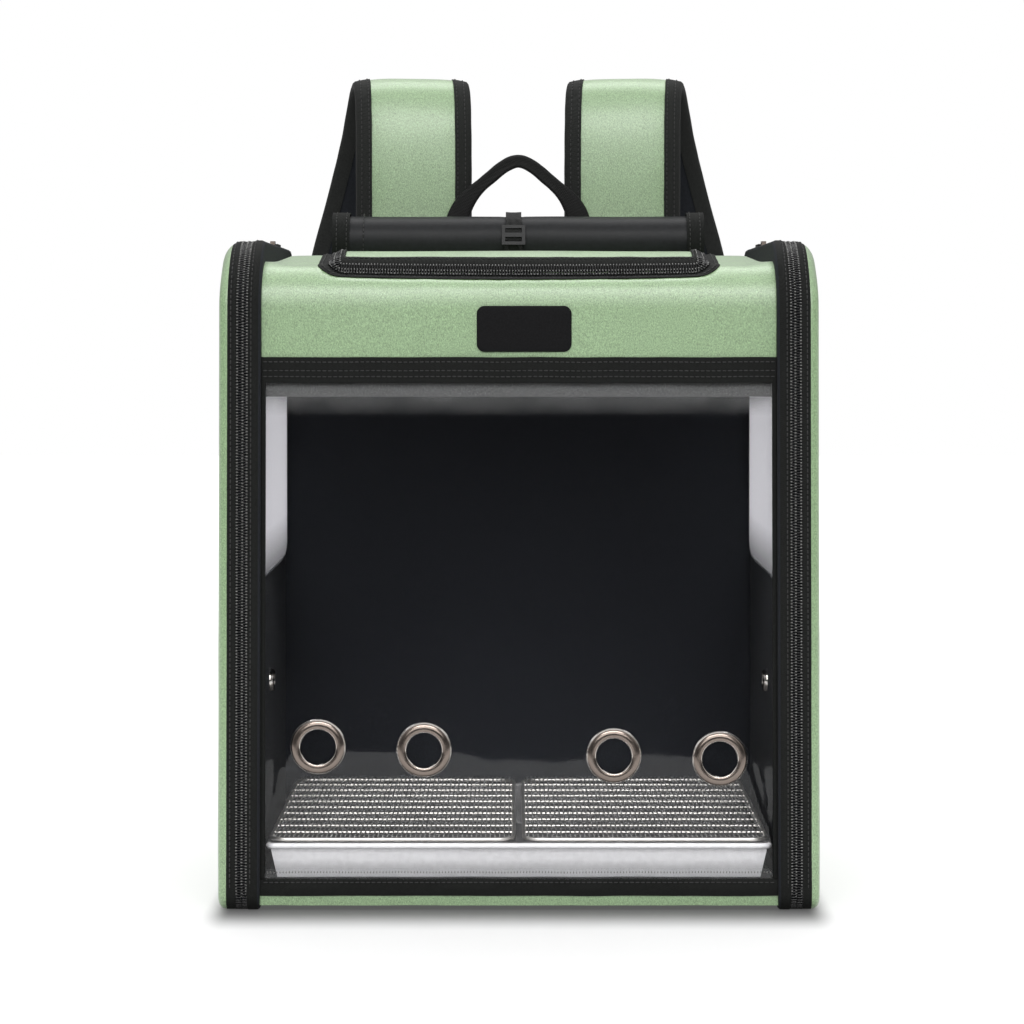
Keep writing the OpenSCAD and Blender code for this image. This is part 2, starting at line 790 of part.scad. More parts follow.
// Webbing from the anchor tab up behind the lock, over its middle bar and down again as a free tail
module strap_webbing() {
    a = lock_side;
    low = [
        [lock_x + 6, y_back + gap + webbing_t / 2 + anchor_t, 30], [lock_x + 5, y_back + 5, 52],
        [lock_x + 2, y_back + 10, 78],
    ];
    led = lock_path([
        [-a, -24], [-a, -13], [-a, -3], [-a, 3.2], [-2.3, 4.7], [0, 5.1], [2.3, 4.7], [a, 3.2], [a, -3],
        [a, -14], [a + 1, -30], [a + 2, -52], [a + 1, -78],
    ]);
    // Loop that is sewn to the strap's end and holds the lock by its upper bar
    loop = lock_path([
        [-a, 17.6], [-a, 12], [-a, 9.4], [-2.2, 8.2], [0, 7.8], [2.2, 8.2], [a, 9.4], [a, 12], [a, 17.6],
    ]);
    color(black) for (points = [concat(low, led), loop]) {
        path = spline(points, 2);
        band_sweep(path, [for (p = path) webbing_w], [for (p = path) webbing_t], [1, 0, 0]);
    }
}

anchor_t = 1.5;

module anchor_tab() {
    // Folded tab sewn at the lower corner, which holds the webbing's end
    tab_x = lock_x + 6 - webbing_w / 2 - 3;
    color(black) translate([tab_x, y_back, 12]) cube([x_in - 1 - tab_x, anchor_t, 40]);
}

// Tray and grates

tray_z = z_floor + gap;
tray_x = x_in - 1.2;
tray_y0 = y_window + sill_d + 1.2;
tray_y1 = y_cabin_back - 3;

module tray_block(x, y0, y1, z0, z1) {
    edge = tray_t / 2;
    hull() {
        translate([-x, y0, z1 - edge]) cube([2 * x, y1 - y0, edge]);
        translate([-x + tray_draft, y0 + tray_draft, z0])
            cube([2 * (x - tray_draft), y1 - y0 - 2 * tray_draft, edge]);
    }
}

module tray() {
    // Pressed pan with sloping walls and a rolled rim
    x = tray_x - tray_bead;
    y0 = tray_y0 + tray_bead;
    y1 = tray_y1 - tray_bead;
    z1 = tray_z + tray_h - tray_bead / 2;
    color(steel) {
        difference() {
            tray_block(x + tray_t, y0 - tray_t, y1 + tray_t, tray_z, z1);
            translate([0, 0, tray_t]) tray_block(x, y0, y1, tray_z, z1);
        }
        translate([0, (y0 + y1) / 2, z1])
            rod_loop(x + tray_bead / 2, (y1 - y0 + tray_bead) / 2, tray_bead * 0.9, tray_bead);
    }
}

// Closed loop of round rod round the middle, hx and hy to its sides, with corners bent to radius r
module rod_loop(hx, hy, r, d) {
    $fn = 24;
    for (s = [-1, 1]) {
        translate([0, s * hy, 0]) rotate([0, 90, 0]) cylinder(d = d, h = 2 * (hx - r), center = true);
        translate([s * hx, 0, 0]) rotate([90, 0, 0]) cylinder(d = d, h = 2 * (hy - r), center = true);
    }
    for (k = [0:3])
        translate([(k == 0 || k == 3 ? 1 : -1) * (hx - r), (k < 2 ? 1 : -1) * (hy - r), 0])
            rotate([0, 0, 90 * k]) rotate_extrude(angle = 90) translate([r, 0]) circle(d = d);
}

module grate() {
    // Right half of the welded grate: rounded frame, ribs across it, fine wires over the ribs
    x0 = grate_gap / 2 + rod_d / 2;
    x1 = tray_x - tray_bead / 2 - 1;
    y0 = tray_y0 + tray_bead / 2 + 1;
    y1 = tray_y1 - tray_bead / 2 - 1;
    weld = 0.3;
    rib_pitch = (y1 - y0) / (bar_count + 1);
    wire_pitch = (x1 - x0) / (wire_count + 1);
    color(steel) translate([(x0 + x1) / 2, (y0 + y1) / 2, tray_z + tray_h + gap + rod_d / 2]) {
        rod_loop((x1 - x0) / 2, (y1 - y0) / 2, grate_r, rod_d);
        for (k = [1:bar_count])
            translate([0, k * rib_pitch - (y1 - y0) / 2, 0]) rotate([0, 90, 0])
                cylinder(d = bar_d, h = x1 - x0, center = true, $fn = 24);
        for (k = [1:wire_count])
            translate([k * wire_pitch - (x1 - x0) / 2, 0, (bar_d + wire_d) / 2 - weld]) rotate([90, 0, 0])
                cylinder(d = wire_d, h = y1 - y0, center = true, $fn = 16);
    }
}

// Placing

module place() {
    translate([0, y_shift, 0]) children();
}

place() back_panel();
place() back_padding();
place() base_panel();
place() front_sill();
place() top_panel();
place() header_tape();
place() window_panel();
place() window_strip();
place() window_bindings();
place() window_eyelets();
place() eyelet_washers();
place() blank_patch();
place() on_side("left") side_frame();  // left_side_frame
place() on_side("right") side_frame();  // right_side_frame
place() on_side("left") frame_coil();  // left_frame_coil
place() on_side("right") frame_coil();  // right_frame_coil
place() top_frame_tape();
place() top_frame_coil();
place() shade_roll();
place() shade_end_bindings();
place() shade_tie();
place() tie_buckle();
place() on_side("left") shoulder_strap();  // left_shoulder_strap
place() on_side("right") shoulder_strap();  // right_shoulder_strap
place() on_side("left") strap_webbing();  // left_strap_webbing
place() on_side("right") strap_webbing();  // right_strap_webbing
place() on_side("left") ladder_lock();  // left_ladder_lock
place() on_side("right") ladder_lock();  // right_ladder_lock
place() on_side("left") anchor_tab();  // left_anchor_tab
place() on_side("right") anchor_tab();  // right_anchor_tab
place() on_side("left") door_panel();  // left_door_panel
place() on_side("left") door_tape();  // left_door_tape
place() on_side("left") door_coil();  // left_door_coil
place() on_side("left") door_window();  // left_door_window
place() on_side("left") window_binding();  // left_window_binding
place() on_side("left") perch_eyelet();  // left_perch_eyelet
place() on_side("left") hinge_tape();  // left_hinge_tape
place() on_side("right") door_panel();  // right_door_panel
place() on_side("right") door_tape();  // right_door_tape
place() on_side("right") door_coil();  // right_door_coil
place() on_side("right") door_window();  // right_door_window
place() on_side("right") window_binding();  // right_window_binding
place() on_side("right") perch_eyelet();  // right_perch_eyelet
place() on_side("right") hinge_tape();  // right_hinge_tape
place() top_door_panel();
place() top_door_tape();
place() top_door_coil();
place() top_hinge_tape();
place() on_side("left") side_zip_slider();  // left_zip_slider
place() on_side("left") side_zip_pull();  // left_zip_pull
place() on_side("right") side_zip_slider();  // right_zip_slider
place() on_side("right") side_zip_pull();  // right_zip_pull
place() top_zip_slider();
place() top_zip_pull();
place() carry_handle();
place() tray();
place() on_side("left") grate();  // left_grate
place() on_side("right") grate();  // right_grate
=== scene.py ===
"""Looks of a soft-sided bird carrier worn as a backpack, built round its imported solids.

Sizes of the carrier are in millimetres in the bag's own frame, where y = 0 is the middle of the side
frames. `at` turns such a place into metres of the shared frame.
"""

from __future__ import annotations

import json
import logging
import math
from collections.abc import Callable, Iterable, Sequence
from dataclasses import dataclass
from enum import Enum

import bmesh
import bpy
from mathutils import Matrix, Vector, noise

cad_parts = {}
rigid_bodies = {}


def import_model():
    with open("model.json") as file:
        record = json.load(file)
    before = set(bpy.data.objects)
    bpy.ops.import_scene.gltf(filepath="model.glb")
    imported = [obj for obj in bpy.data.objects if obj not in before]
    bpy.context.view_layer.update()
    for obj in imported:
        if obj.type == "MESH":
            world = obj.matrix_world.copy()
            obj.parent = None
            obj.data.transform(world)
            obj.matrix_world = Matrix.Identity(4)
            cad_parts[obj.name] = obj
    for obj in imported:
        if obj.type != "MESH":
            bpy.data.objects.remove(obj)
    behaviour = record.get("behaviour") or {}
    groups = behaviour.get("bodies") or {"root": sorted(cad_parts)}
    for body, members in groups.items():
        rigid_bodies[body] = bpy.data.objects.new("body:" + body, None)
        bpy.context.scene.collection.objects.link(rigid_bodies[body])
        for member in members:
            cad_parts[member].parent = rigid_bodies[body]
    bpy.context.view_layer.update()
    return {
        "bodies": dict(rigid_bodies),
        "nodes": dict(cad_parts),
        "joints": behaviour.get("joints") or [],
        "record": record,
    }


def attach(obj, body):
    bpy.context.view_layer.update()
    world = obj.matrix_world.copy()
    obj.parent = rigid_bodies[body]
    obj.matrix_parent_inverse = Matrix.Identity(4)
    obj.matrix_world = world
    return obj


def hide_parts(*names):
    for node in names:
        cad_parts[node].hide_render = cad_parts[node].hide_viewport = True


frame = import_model()
LOG = logging.getLogger("carrier")
MM = 0.001
BAG_SHIFT = -38.0
TOOTH_PITCH = 1.5
OUT_FRONT = Vector((0, -1, 0))
OUT_BACK = Vector((0, 1, 0))

Colour = tuple[float, float, float]
Tree = bpy.types.NodeTree
Node = bpy.types.Node
Socket = bpy.types.NodeSocket
Thing = bpy.types.Object
Row = list[Vector]
Seam = Sequence[tuple[Vector, Vector]]
Inset = Callable[[float, float], float]


def at(x: float, y: float, z: float) -> Vector:
    """Place in the shared frame, in metres, of a place in the bag's frame, in millimetres."""
    return Vector((x * MM, (y + BAG_SHIFT) * MM, z * MM))


def srgb(red: float, green: float, blue: float) -> Colour:
    """Linear colour of 0 to 255 screen values."""

    def linear(value: float) -> float:
        """One channel."""
        v = value / 255
        return v / 12.92 if v <= 0.04045 else ((v + 0.055) / 1.055) ** 2.4

    return linear(red), linear(green), linear(blue)


def ramp(value: float, start: float, end: float) -> float:
    """Smooth step from 0 at start to 1 at end."""
    t = max(0.0, min(1.0, (value - start) / (end - start)))
    return t * t * (3 - 2 * t)


def hump(value: float) -> float:
    """Smooth hump: 1 at 0, falling to 0 at -1 and 1."""
    return (1 - value * value) ** 2 if abs(value) < 1 else 0.0


def spread(start: float, end: float, count: int) -> list[float]:
    """Evenly spaced values, both ends included."""
    return [start + (end - start) * k / (count - 1) for k in range(count)]


def lines(*stops: tuple[float, int]) -> list[float]:
    """Grid lines through stops; each stop gives its place and the number of cells up to it."""
    out = [stops[0][0]]
    for place, cells in stops[1:]:
        out += spread(out[-1], place, cells + 1)[1:]
    return out


def turns(count: int) -> list[float]:
    """Angles of evenly spaced points of a circle."""
    return [2 * math.pi * k / count for k in range(count)]


def ripple(x: float, y: float, z: float, size: float) -> float:
    """Smooth noise from about -1 to 1 whose features are size millimetres across."""
    return noise.noise(Vector((x, y, z)) / size)


class Side(Enum):
    """Left or right of the bag, as seen by a person who faces the window."""

    LEFT = "left"
    RIGHT = "right"

    @property
    def sign(self) -> int:
        """Sign of X on this side."""
        return -1 if self is Side.LEFT else 1


# Finishes


def put(tree: Tree, kind: str, inputs: dict | None = None, **props: object) -> Node:
    """Adds a node.

    Args:
        tree: Tree that the node goes into.
        kind: Blender's type name of the node.
        inputs: Values or output sockets for its inputs, by name or number.
        props: Other settings of the node.

    Returns:
        The node.
    """
    made = tree.nodes.new(kind)
    for name, value in props.items():
        setattr(made, name, value)
    for key, value in (inputs or {}).items():
        if isinstance(value, Socket):
            tree.links.new(value, made.inputs[key])
        else:
            made.inputs[key].default_value = value
    return made


def maths(tree: Tree, operation: str, *values: object) -> Socket:
    """Result of a math node; values are numbers or sockets."""
    return put(tree, "ShaderNodeMath", dict(enumerate(values)), operation=operation).outputs[0]


def spanned(
    tree: Tree, value: Socket, start: float, end: float, low: float = 0.0, high: float = 1.0, **props: object
) -> Socket:
    """Number that goes from low to high as value goes from start to end."""
    return put(tree, "ShaderNodeMapRange", {
        "Value": value, "From Min": start, "From Max": end, "To Min": low, "To Max": high,
    }, **props).outputs[0]


def scaled(tree: Tree, colour: Socket, factor: Socket) -> Socket:
    """A colour times a factor."""
    return put(tree, "ShaderNodeVectorMath", {0: colour, "Scale": factor}, operation="SCALE").outputs[0]


def group_frame(name: str, inputs: Sequence[tuple[str, str, float]], outputs: Sequence[str]) -> tuple:
    """Starts a shader node group.

    Args:
        name: Name of the group.
        inputs: Name, socket type and default of each input.
        outputs: Names of the float outputs.

    Returns:
        The group, its input node and its output node.
    """
    group = bpy.data.node_groups.new(name, "ShaderNodeTree")
    for label, kind, default in inputs:
        socket = group.interface.new_socket(label, in_out="INPUT", socket_type=kind)
        if kind == "NodeSocketFloat":
            socket.default_value = default
    for label in outputs:
        group.interface.new_socket(label, in_out="OUTPUT", socket_type="NodeSocketFloat")
    return group, group.nodes.new("NodeGroupInput"), group.nodes.new("NodeGroupOutput")


def fibre_group() -> Tree:
    """Mottle of short fibres: a fine mask, a broad one and a height. Built once."""
    name = "fibre_mottle"
    if name in bpy.data.node_groups:
        return bpy.data.node_groups[name]
    group, start, end = group_frame(
        name, [("Vector", "NodeSocketVector", 0), ("Scale", "NodeSocketFloat", 600)], ["Fine", "Broad", "Height"]
    )
    squeeze = put(group, "ShaderNodeMapping", {"Vector": start.outputs["Vector"], "Scale": (1.0, 1.0, 0.55)})
    fine = put(group, "ShaderNodeTexNoise", {
        "Vector": squeeze.outputs[0], "Scale": start.outputs["Scale"], "Detail": 3.0, "Roughness": 0.65,
    })
    warp = put(group, "ShaderNodeTexNoise", {
        "Vector": start.outputs["Vector"], "Scale": start.outputs["Scale"], "Detail": 2.0, "Distortion": 1.6,
    })
    half = maths(group, "MULTIPLY", maths(group, "ADD", fine.outputs[0], warp.outputs[0]), 0.5)
    broad = put(group, "ShaderNodeTexNoise", {"Vector": start.outputs["Vector"], "Scale": 18.0, "Detail": 2.0})
    group.links.new(half, end.inputs["Fine"])
    group.links.new(broad.outputs[0], end.inputs["Broad"])
    group.links.new(fine.outputs[0], end.inputs["Height"])
    return group


def weave_group() -> Tree:
    """Crossed threads: a height from 0 to 1 that repeats every Pitch metres. Built once."""
    name = "crossed_threads"
    if name in bpy.data.node_groups:
        return bpy.data.node_groups[name]
    group, start, end = group_frame(
        name, [("Vector", "NodeSocketVector", 0), ("Pitch", "NodeSocketFloat", 0.001)], ["Height"]
    )
    turn = maths(group, "DIVIDE", 2 * math.pi, start.outputs["Pitch"])
    waves = []
    for direction in ((1.0, 1.0, 0.0), (0.5, -0.5, 1.0)):
        along = put(
            group, "ShaderNodeVectorMath", {0: start.outputs["Vector"], 1: direction}, operation="DOT_PRODUCT"
        )
        waves.append(maths(group, "SINE", maths(group, "MULTIPLY", along.outputs["Value"], turn)))
    height = maths(group, "MULTIPLY_ADD", maths(group, "MULTIPLY", *waves), 0.5, 0.5)
    group.links.new(height, end.inputs["Height"])
    return group


@dataclass(frozen=True)
class Finish:
    """A finish: its name, the record's slot and how it is shaded. Subclasses add the pattern."""

    name: str
    slot: str
    colour: Colour
    roughness: float = 0.6
    specular: float = 0.5

    def material(self) -> bpy.types.Material:
        """The finish's material, built the first time it is asked for."""
        found = bpy.data.materials.get(self.name)
        if found:
            return found
        made = bpy.data.materials.new(self.name)
        made.use_nodes = True
        tree = made.node_tree
        shader = tree.nodes["Principled BSDF"]
        shader.inputs["Roughness"].default_value = self.roughness
        shader.inputs["Specular IOR Level"].default_value = self.specular
        shader.inputs["Base Color"].default_value = (*self.colour, 1)
        self.dress(tree, shader)
        made.diffuse_color = (*self.colour, 1)
        return made

    def dress(self, tree: Tree, shader: Node) -> None:
        """Adds the pattern of this finish."""

    def where(self, tree: Tree) -> Socket:
        """Object coordinates."""
        return put(tree, "ShaderNodeTexCoord").outputs["Object"]

    def two_tone(self, tree: Tree, mask: Socket, low: float, high: float, span: Sequence[float]) -> Socket:
        """Colour that goes from low to high times the finish's own as mask goes over span."""
        made = put(tree, "ShaderNodeValToRGB", {"Fac": mask})
        for element, place, factor in zip(made.color_ramp.elements, span, (low, high)):
            element.position = place
            element.color = (*(min(1.0, c * factor) for c in self.colour), 1)
        return made.outputs["Color"]

    def uneven_gloss(self, tree: Tree, shader: Node, mask: Socket, low: float, high: float) -> None:
        """Roughness from low to high times the finish's own as mask goes from 0 to 1."""
        rough = spanned(tree, mask, 0.0, 1.0, self.roughness * low, self.roughness * high)
        tree.links.new(rough, shader.inputs["Roughness"])

    def bump(self, tree: Tree, shader: Node, height: Socket, depth: float, strength: float = 0.5) -> None:
        """Feeds a height in millimetres of depth into the shader's normal."""
        made = put(tree, "ShaderNodeBump", {"Strength": strength, "Distance": depth * MM, "Height": height})
        tree.links.new(made.outputs[0], shader.inputs["Normal"])


@dataclass(frozen=True)
class Fleece(Finish):
    """Melange fabric of short fibres."""

    scale: float = 1650.0
    contrast: float = 0.55
    sheen: float = 0.05
    gloss: float = 0.85

    def dress(self, tree: Tree, shader: Node) -> None:
        """Mottled colour, soft sheen and a fine nap."""
        fibres = put(
            tree, "ShaderNodeGroup", {"Vector": self.where(tree), "Scale": self.scale}, node_tree=fibre_group()
        )
        colour = self.two_tone(tree, fibres.outputs["Fine"], 1 - self.contrast, 1 + self.contrast, (0.34, 0.66))
        broad = spanned(tree, fibres.outputs["Broad"], 0.0, 1.0, 0.93, 1.05)
        tree.links.new(scaled(tree, colour, broad), shader.inputs["Base Color"])
        shader.inputs["Sheen Weight"].default_value = self.sheen
        shader.inputs["Sheen Roughness"].default_value = 0.5
        shader.inputs["Coat Weight"].default_value = self.gloss
        shader.inputs["Coat Roughness"].default_value = 0.33
        self.bump(tree, shader, fibres.outputs["Height"], 0.5)


@dataclass(frozen=True)
class Woven(Finish):
    """Plain woven fabric, tape or webbing with visible threads."""

    pitch: float = 1.0
    depth: float = 0.25
    contrast: float = 0.4
    sheen: float = 0.02

    def dress(self, tree: Tree, shader: Node) -> None:
        """Crossed threads with uneven fibres."""
        where = self.where(tree)
        weave = put(tree, "ShaderNodeGroup", {"Vector": where, "Pitch": self.pitch * MM}, node_tree=weave_group())
        fibres = put(tree, "ShaderNodeGroup", {"Vector": where, "Scale": 900.0}, node_tree=fibre_group())
        mask = maths(tree, "MULTIPLY_ADD", weave.outputs["Height"], 0.5, fibres.outputs["Fine"])
        colour = self.two_tone(tree, mask, 1 - self.contrast, 1 + 1.5 * self.contrast, (0.45, 1.0))
        tree.links.new(colour, shader.inputs["Base Color"])
        shader.inputs["Sheen Weight"].default_value = self.sheen
        self.bump(tree, shader, mask, self.depth)


@dataclass(frozen=True)
class SpacerMesh(Finish):
    """Knitted air mesh with round holes."""

    def dress(self, tree: Tree, shader: Node) -> None:
        """Dark holes in a rounded knit."""
        cells = put(tree, "ShaderNodeTexVoronoi", {"Vector": self.where(tree), "Scale": 420.0, "Randomness": 0.25})
        colour = self.two_tone(tree, cells.outputs["Distance"], 0.25, 1.5, (0.2, 0.55))
        tree.links.new(colour, shader.inputs["Base Color"])
        self.bump(tree, shader, cells.outputs["Distance"], 0.8, 0.8)


@dataclass(frozen=True)
class Moulded(Finish):
    """Moulded plastic, nylon or rubber with a fine grain."""

    grain: float = 0.06
    scale: float = 900.0

    def dress(self, tree: Tree, shader: Node) -> None:
        """Slight grain in the gloss and the surface."""
        grain = put(tree, "ShaderNodeTexNoise", {"Vector": self.where(tree), "Scale": self.scale, "Detail": 2.0})
        self.uneven_gloss(tree, shader, grain.outputs[0], 0.8, 1.2)
        tree.links.new(self.two_tone(tree, grain.outputs[0], 0.8, 1.25, (0.3, 0.7)), shader.inputs["Base Color"])
        self.bump(tree, shader, grain.outputs[0], self.grain)


@dataclass(frozen=True)
class Metal(Finish):
    """Bright metal, polished or drawn."""

    scratch: float = 0.02
    scale: float = 300.0

    def dress(self, tree: Tree, shader: Node) -> None:
        """Gloss that varies a little with handling marks."""
        marks = put(tree, "ShaderNodeTexNoise", {"Vector": self.where(tree), "Scale": self.scale, "Detail": 4.0})
        self.uneven_gloss(tree, shader, marks.outputs[0], 0.7, 1.4)
        tree.links.new(self.two_tone(tree, marks.outputs[0], 0.93, 1.05, (0.3, 0.7)), shader.inputs["Base Color"])
        shader.inputs["Metallic"].default_value = 1.0
        self.bump(tree, shader, marks.outputs[0], self.scratch)


@dataclass(frozen=True)
class PanSheet(Metal):
    """Sheet steel of the pan, with painted shade: bright on its sloping front wall, darker behind it and towards its
    foot.
    """

    front: float = -0.1522
    slope: float = 0.2016
    rim: float = 0.0361
    foot: tuple[float, float] = (0.0235, 0.0275)
    inside: float = 0.22
    low: float = 0.74

    def dress(self, tree: Tree, shader: Node) -> None:
        """Half-bright sheet with painted shade: darker behind the front wall and towards the foot."""
        super().dress(tree, shader)
        shader.inputs["Metallic"].default_value = 0.15
        marks = shader.inputs["Base Color"].links[0].from_socket
        where = put(tree, "ShaderNodeSeparateXYZ", {0: self.where(tree)}).outputs
        along = maths(tree, "MULTIPLY_ADD", maths(tree, "SUBTRACT", where["Z"], self.rim), self.slope, where["Y"])
        # Painted shade: the colour falls to inside behind the front wall and to low at the foot.
        behind = spanned(tree, along, self.front, self.front + 0.0015, 1.0, self.inside)
        foot = spanned(tree, where["Z"], *self.foot, self.low, 1.0)
        shade = scaled(tree, marks, maths(tree, "MULTIPLY", behind, foot))
        tree.links.new(shade, shader.inputs["Base Color"])


@dataclass(frozen=True)
class ClearFilm(Finish):
    """Clear flexible vinyl. Light passes straight through it to what lies behind."""

    haze: float = 0.0
    painted_light_fade: tuple[float, float] = (0.180, 0.216)

    def dress(self, tree: Tree, shader: Node) -> None:
        """Glass-like shader that casts no dark shadow, with faint ripples in the gloss."""
        shader.inputs["Transmission Weight"].default_value = 1.0
        shader.inputs["IOR"].default_value = 1.285
        waves = put(tree, "ShaderNodeTexNoise", {"Vector": self.where(tree), "Scale": 35.0, "Detail": 2.0})
        self.bump(tree, shader, waves.outputs[0], 0.25, 0.35)
        light = put(tree, "ShaderNodeLightPath")
        clear = put(tree, "ShaderNodeBsdfTransparent")
        seen = shader.outputs[0]
        if self.haze:
            milky = put(tree, "ShaderNodeBsdfTranslucent", {"Color": (0.95, 0.935, 0.975, 1)})
            facing = put(tree, "ShaderNodeLayerWeight", {"Blend": 0.5}).outputs["Facing"]
            # Painted shade: the milky haze thins out towards the window's lower edge.
            height = put(tree, "ShaderNodeSeparateXYZ", {0: self.where(tree)}).outputs["Z"]
            share = maths(
                tree, "MULTIPLY", spanned(tree, facing, 0.55, 0.9, 0.03, self.haze), spanned(tree, height, *self.painted_light_fade)
            )
            seen = put(tree, "ShaderNodeMixShader", {0: share, 1: shader.outputs[0], 2: milky.outputs[0]}).outputs[0]
        mixed = put(tree, "ShaderNodeMixShader", {0: light.outputs["Is Shadow Ray"], 1: seen, 2: clear.outputs[0]})
        tree.links.new(mixed.outputs[0], tree.nodes["Material Output"].inputs["Surface"])


@dataclass(frozen=True)
class PaintedReflectionBand(Finish):
    """Grey band that fades away downwards: a painted reflection under the strip."""

    low: float = 0.2855
    high: float = 0.2966

    def dress(self, tree: Tree, shader: Node) -> None:
        """Alpha that falls to nothing at the lower edge, with a little unevenness."""
        where = self.where(tree)
        height = put(tree, "ShaderNodeSeparateXYZ", {0: where}).outputs["Z"]
        painted_light_fade = spanned(tree, height, self.low, self.high, 0.0, 0.6)
        uneven = put(tree, "ShaderNodeTexNoise", {"Vector": where, "Scale": 60.0}).outputs[0]
        tree.links.new(maths(tree, "MULTIPLY", maths(tree, "MULTIPLY", painted_light_fade, uneven), 1.1), shader.inputs["Alpha"])


GREEN = Fleece("green_melange", "green_fabric", (0.247, 0.377, 0.195), 0.4, 0.8)
LINING = Woven("black_lining", "black_fabric", srgb(32, 34, 38), 0.8, 0.12, pitch=0.9)
TAPE = Woven("ribbed_tape", "black_tape", srgb(24, 25, 24), 0.7, 0.1, pitch=1.1, depth=0.35)
# A lighter copy of the black tape for the straps' bindings: painted light.
TAPE_PAINTED_LIGHTER = Woven("tape_painted_lighter", "black_tape", srgb(33, 34, 33), 0.7, 0.12, pitch=1.1, depth=0.35)
WEB = Woven("nylon_webbing", "webbing", srgb(21, 21, 21), 0.5, 0.14, pitch=2.0, depth=0.5, contrast=0.5)
THREAD = Moulded("black_thread", "black_tape", srgb(52, 52, 52), 0.5, 0.25)
# Pale colour of real stitches on the hem, and of painted highlights on the tops of the zips' coil turns.
PALE_STITCH_AND_GLINT = Moulded("pale_stitch_and_painted_glint", "zip_coil", srgb(122, 122, 120), 0.5)
COIL = Moulded("zip_nylon", "zip_coil", srgb(14, 14, 15), 0.28, 0.45)
FILM = ClearFilm("clear_vinyl", "clear_film", (0.97, 0.975, 0.98), 0.04)
SIDE_FILM = ClearFilm("hazy_vinyl", "clear_film", (0.96, 0.965, 0.98), 0.06, haze=0.92)
STRIP = Moulded("smoked_vinyl", "grey_strip", srgb(87, 87, 87), 0.85, 0.03, grain=0.01)
# A grey band of painted reflection that fades downwards under the strip.
PAINTED_REFLECTION = PaintedReflectionBand("painted_reflection_band", "grey_strip", srgb(86, 86, 86), 0.5, 0.1)
# Two copies of one nickel: a darkened one, painted shade, and a bright one for edges, painted highlights.
NICKEL_PAINTED_DARK = Metal("nickel_painted_dark", "nickel", (0.235, 0.195, 0.170), 0.2)
NICKEL_PAINTED_HIGHLIGHT = Metal("nickel_painted_highlight", "nickel", (0.78, 0.74, 0.70), 0.12)
STEEL = Metal("bright_steel", "steel", (0.62, 0.61, 0.60), 0.36)
SHEET_STEEL_PAINTED_SHADE = PanSheet("brushed_sheet_painted_shade", "steel", (0.70, 0.69, 0.705), 0.42)
WIRE = Metal("bright_wire", "steel", (0.72, 0.69, 0.65), 0.33)
MESH = SpacerMesh("air_mesh", "air_mesh", srgb(44, 44, 46), 0.8, 0.2)
HARD = Moulded("moulded_nylon", "hard_plastic", srgb(22, 22, 23), 0.4, 0.25)
RUBBER = Moulded("smooth_rubber", "patch_rubber", srgb(23, 23, 24), 0.6, 0.06)
SHADE = Moulded("smooth_nylon_cloth", "shade_cloth", srgb(24, 25, 27), 0.45, 0.2, grain=0.1, scale=350.0)


# Meshes


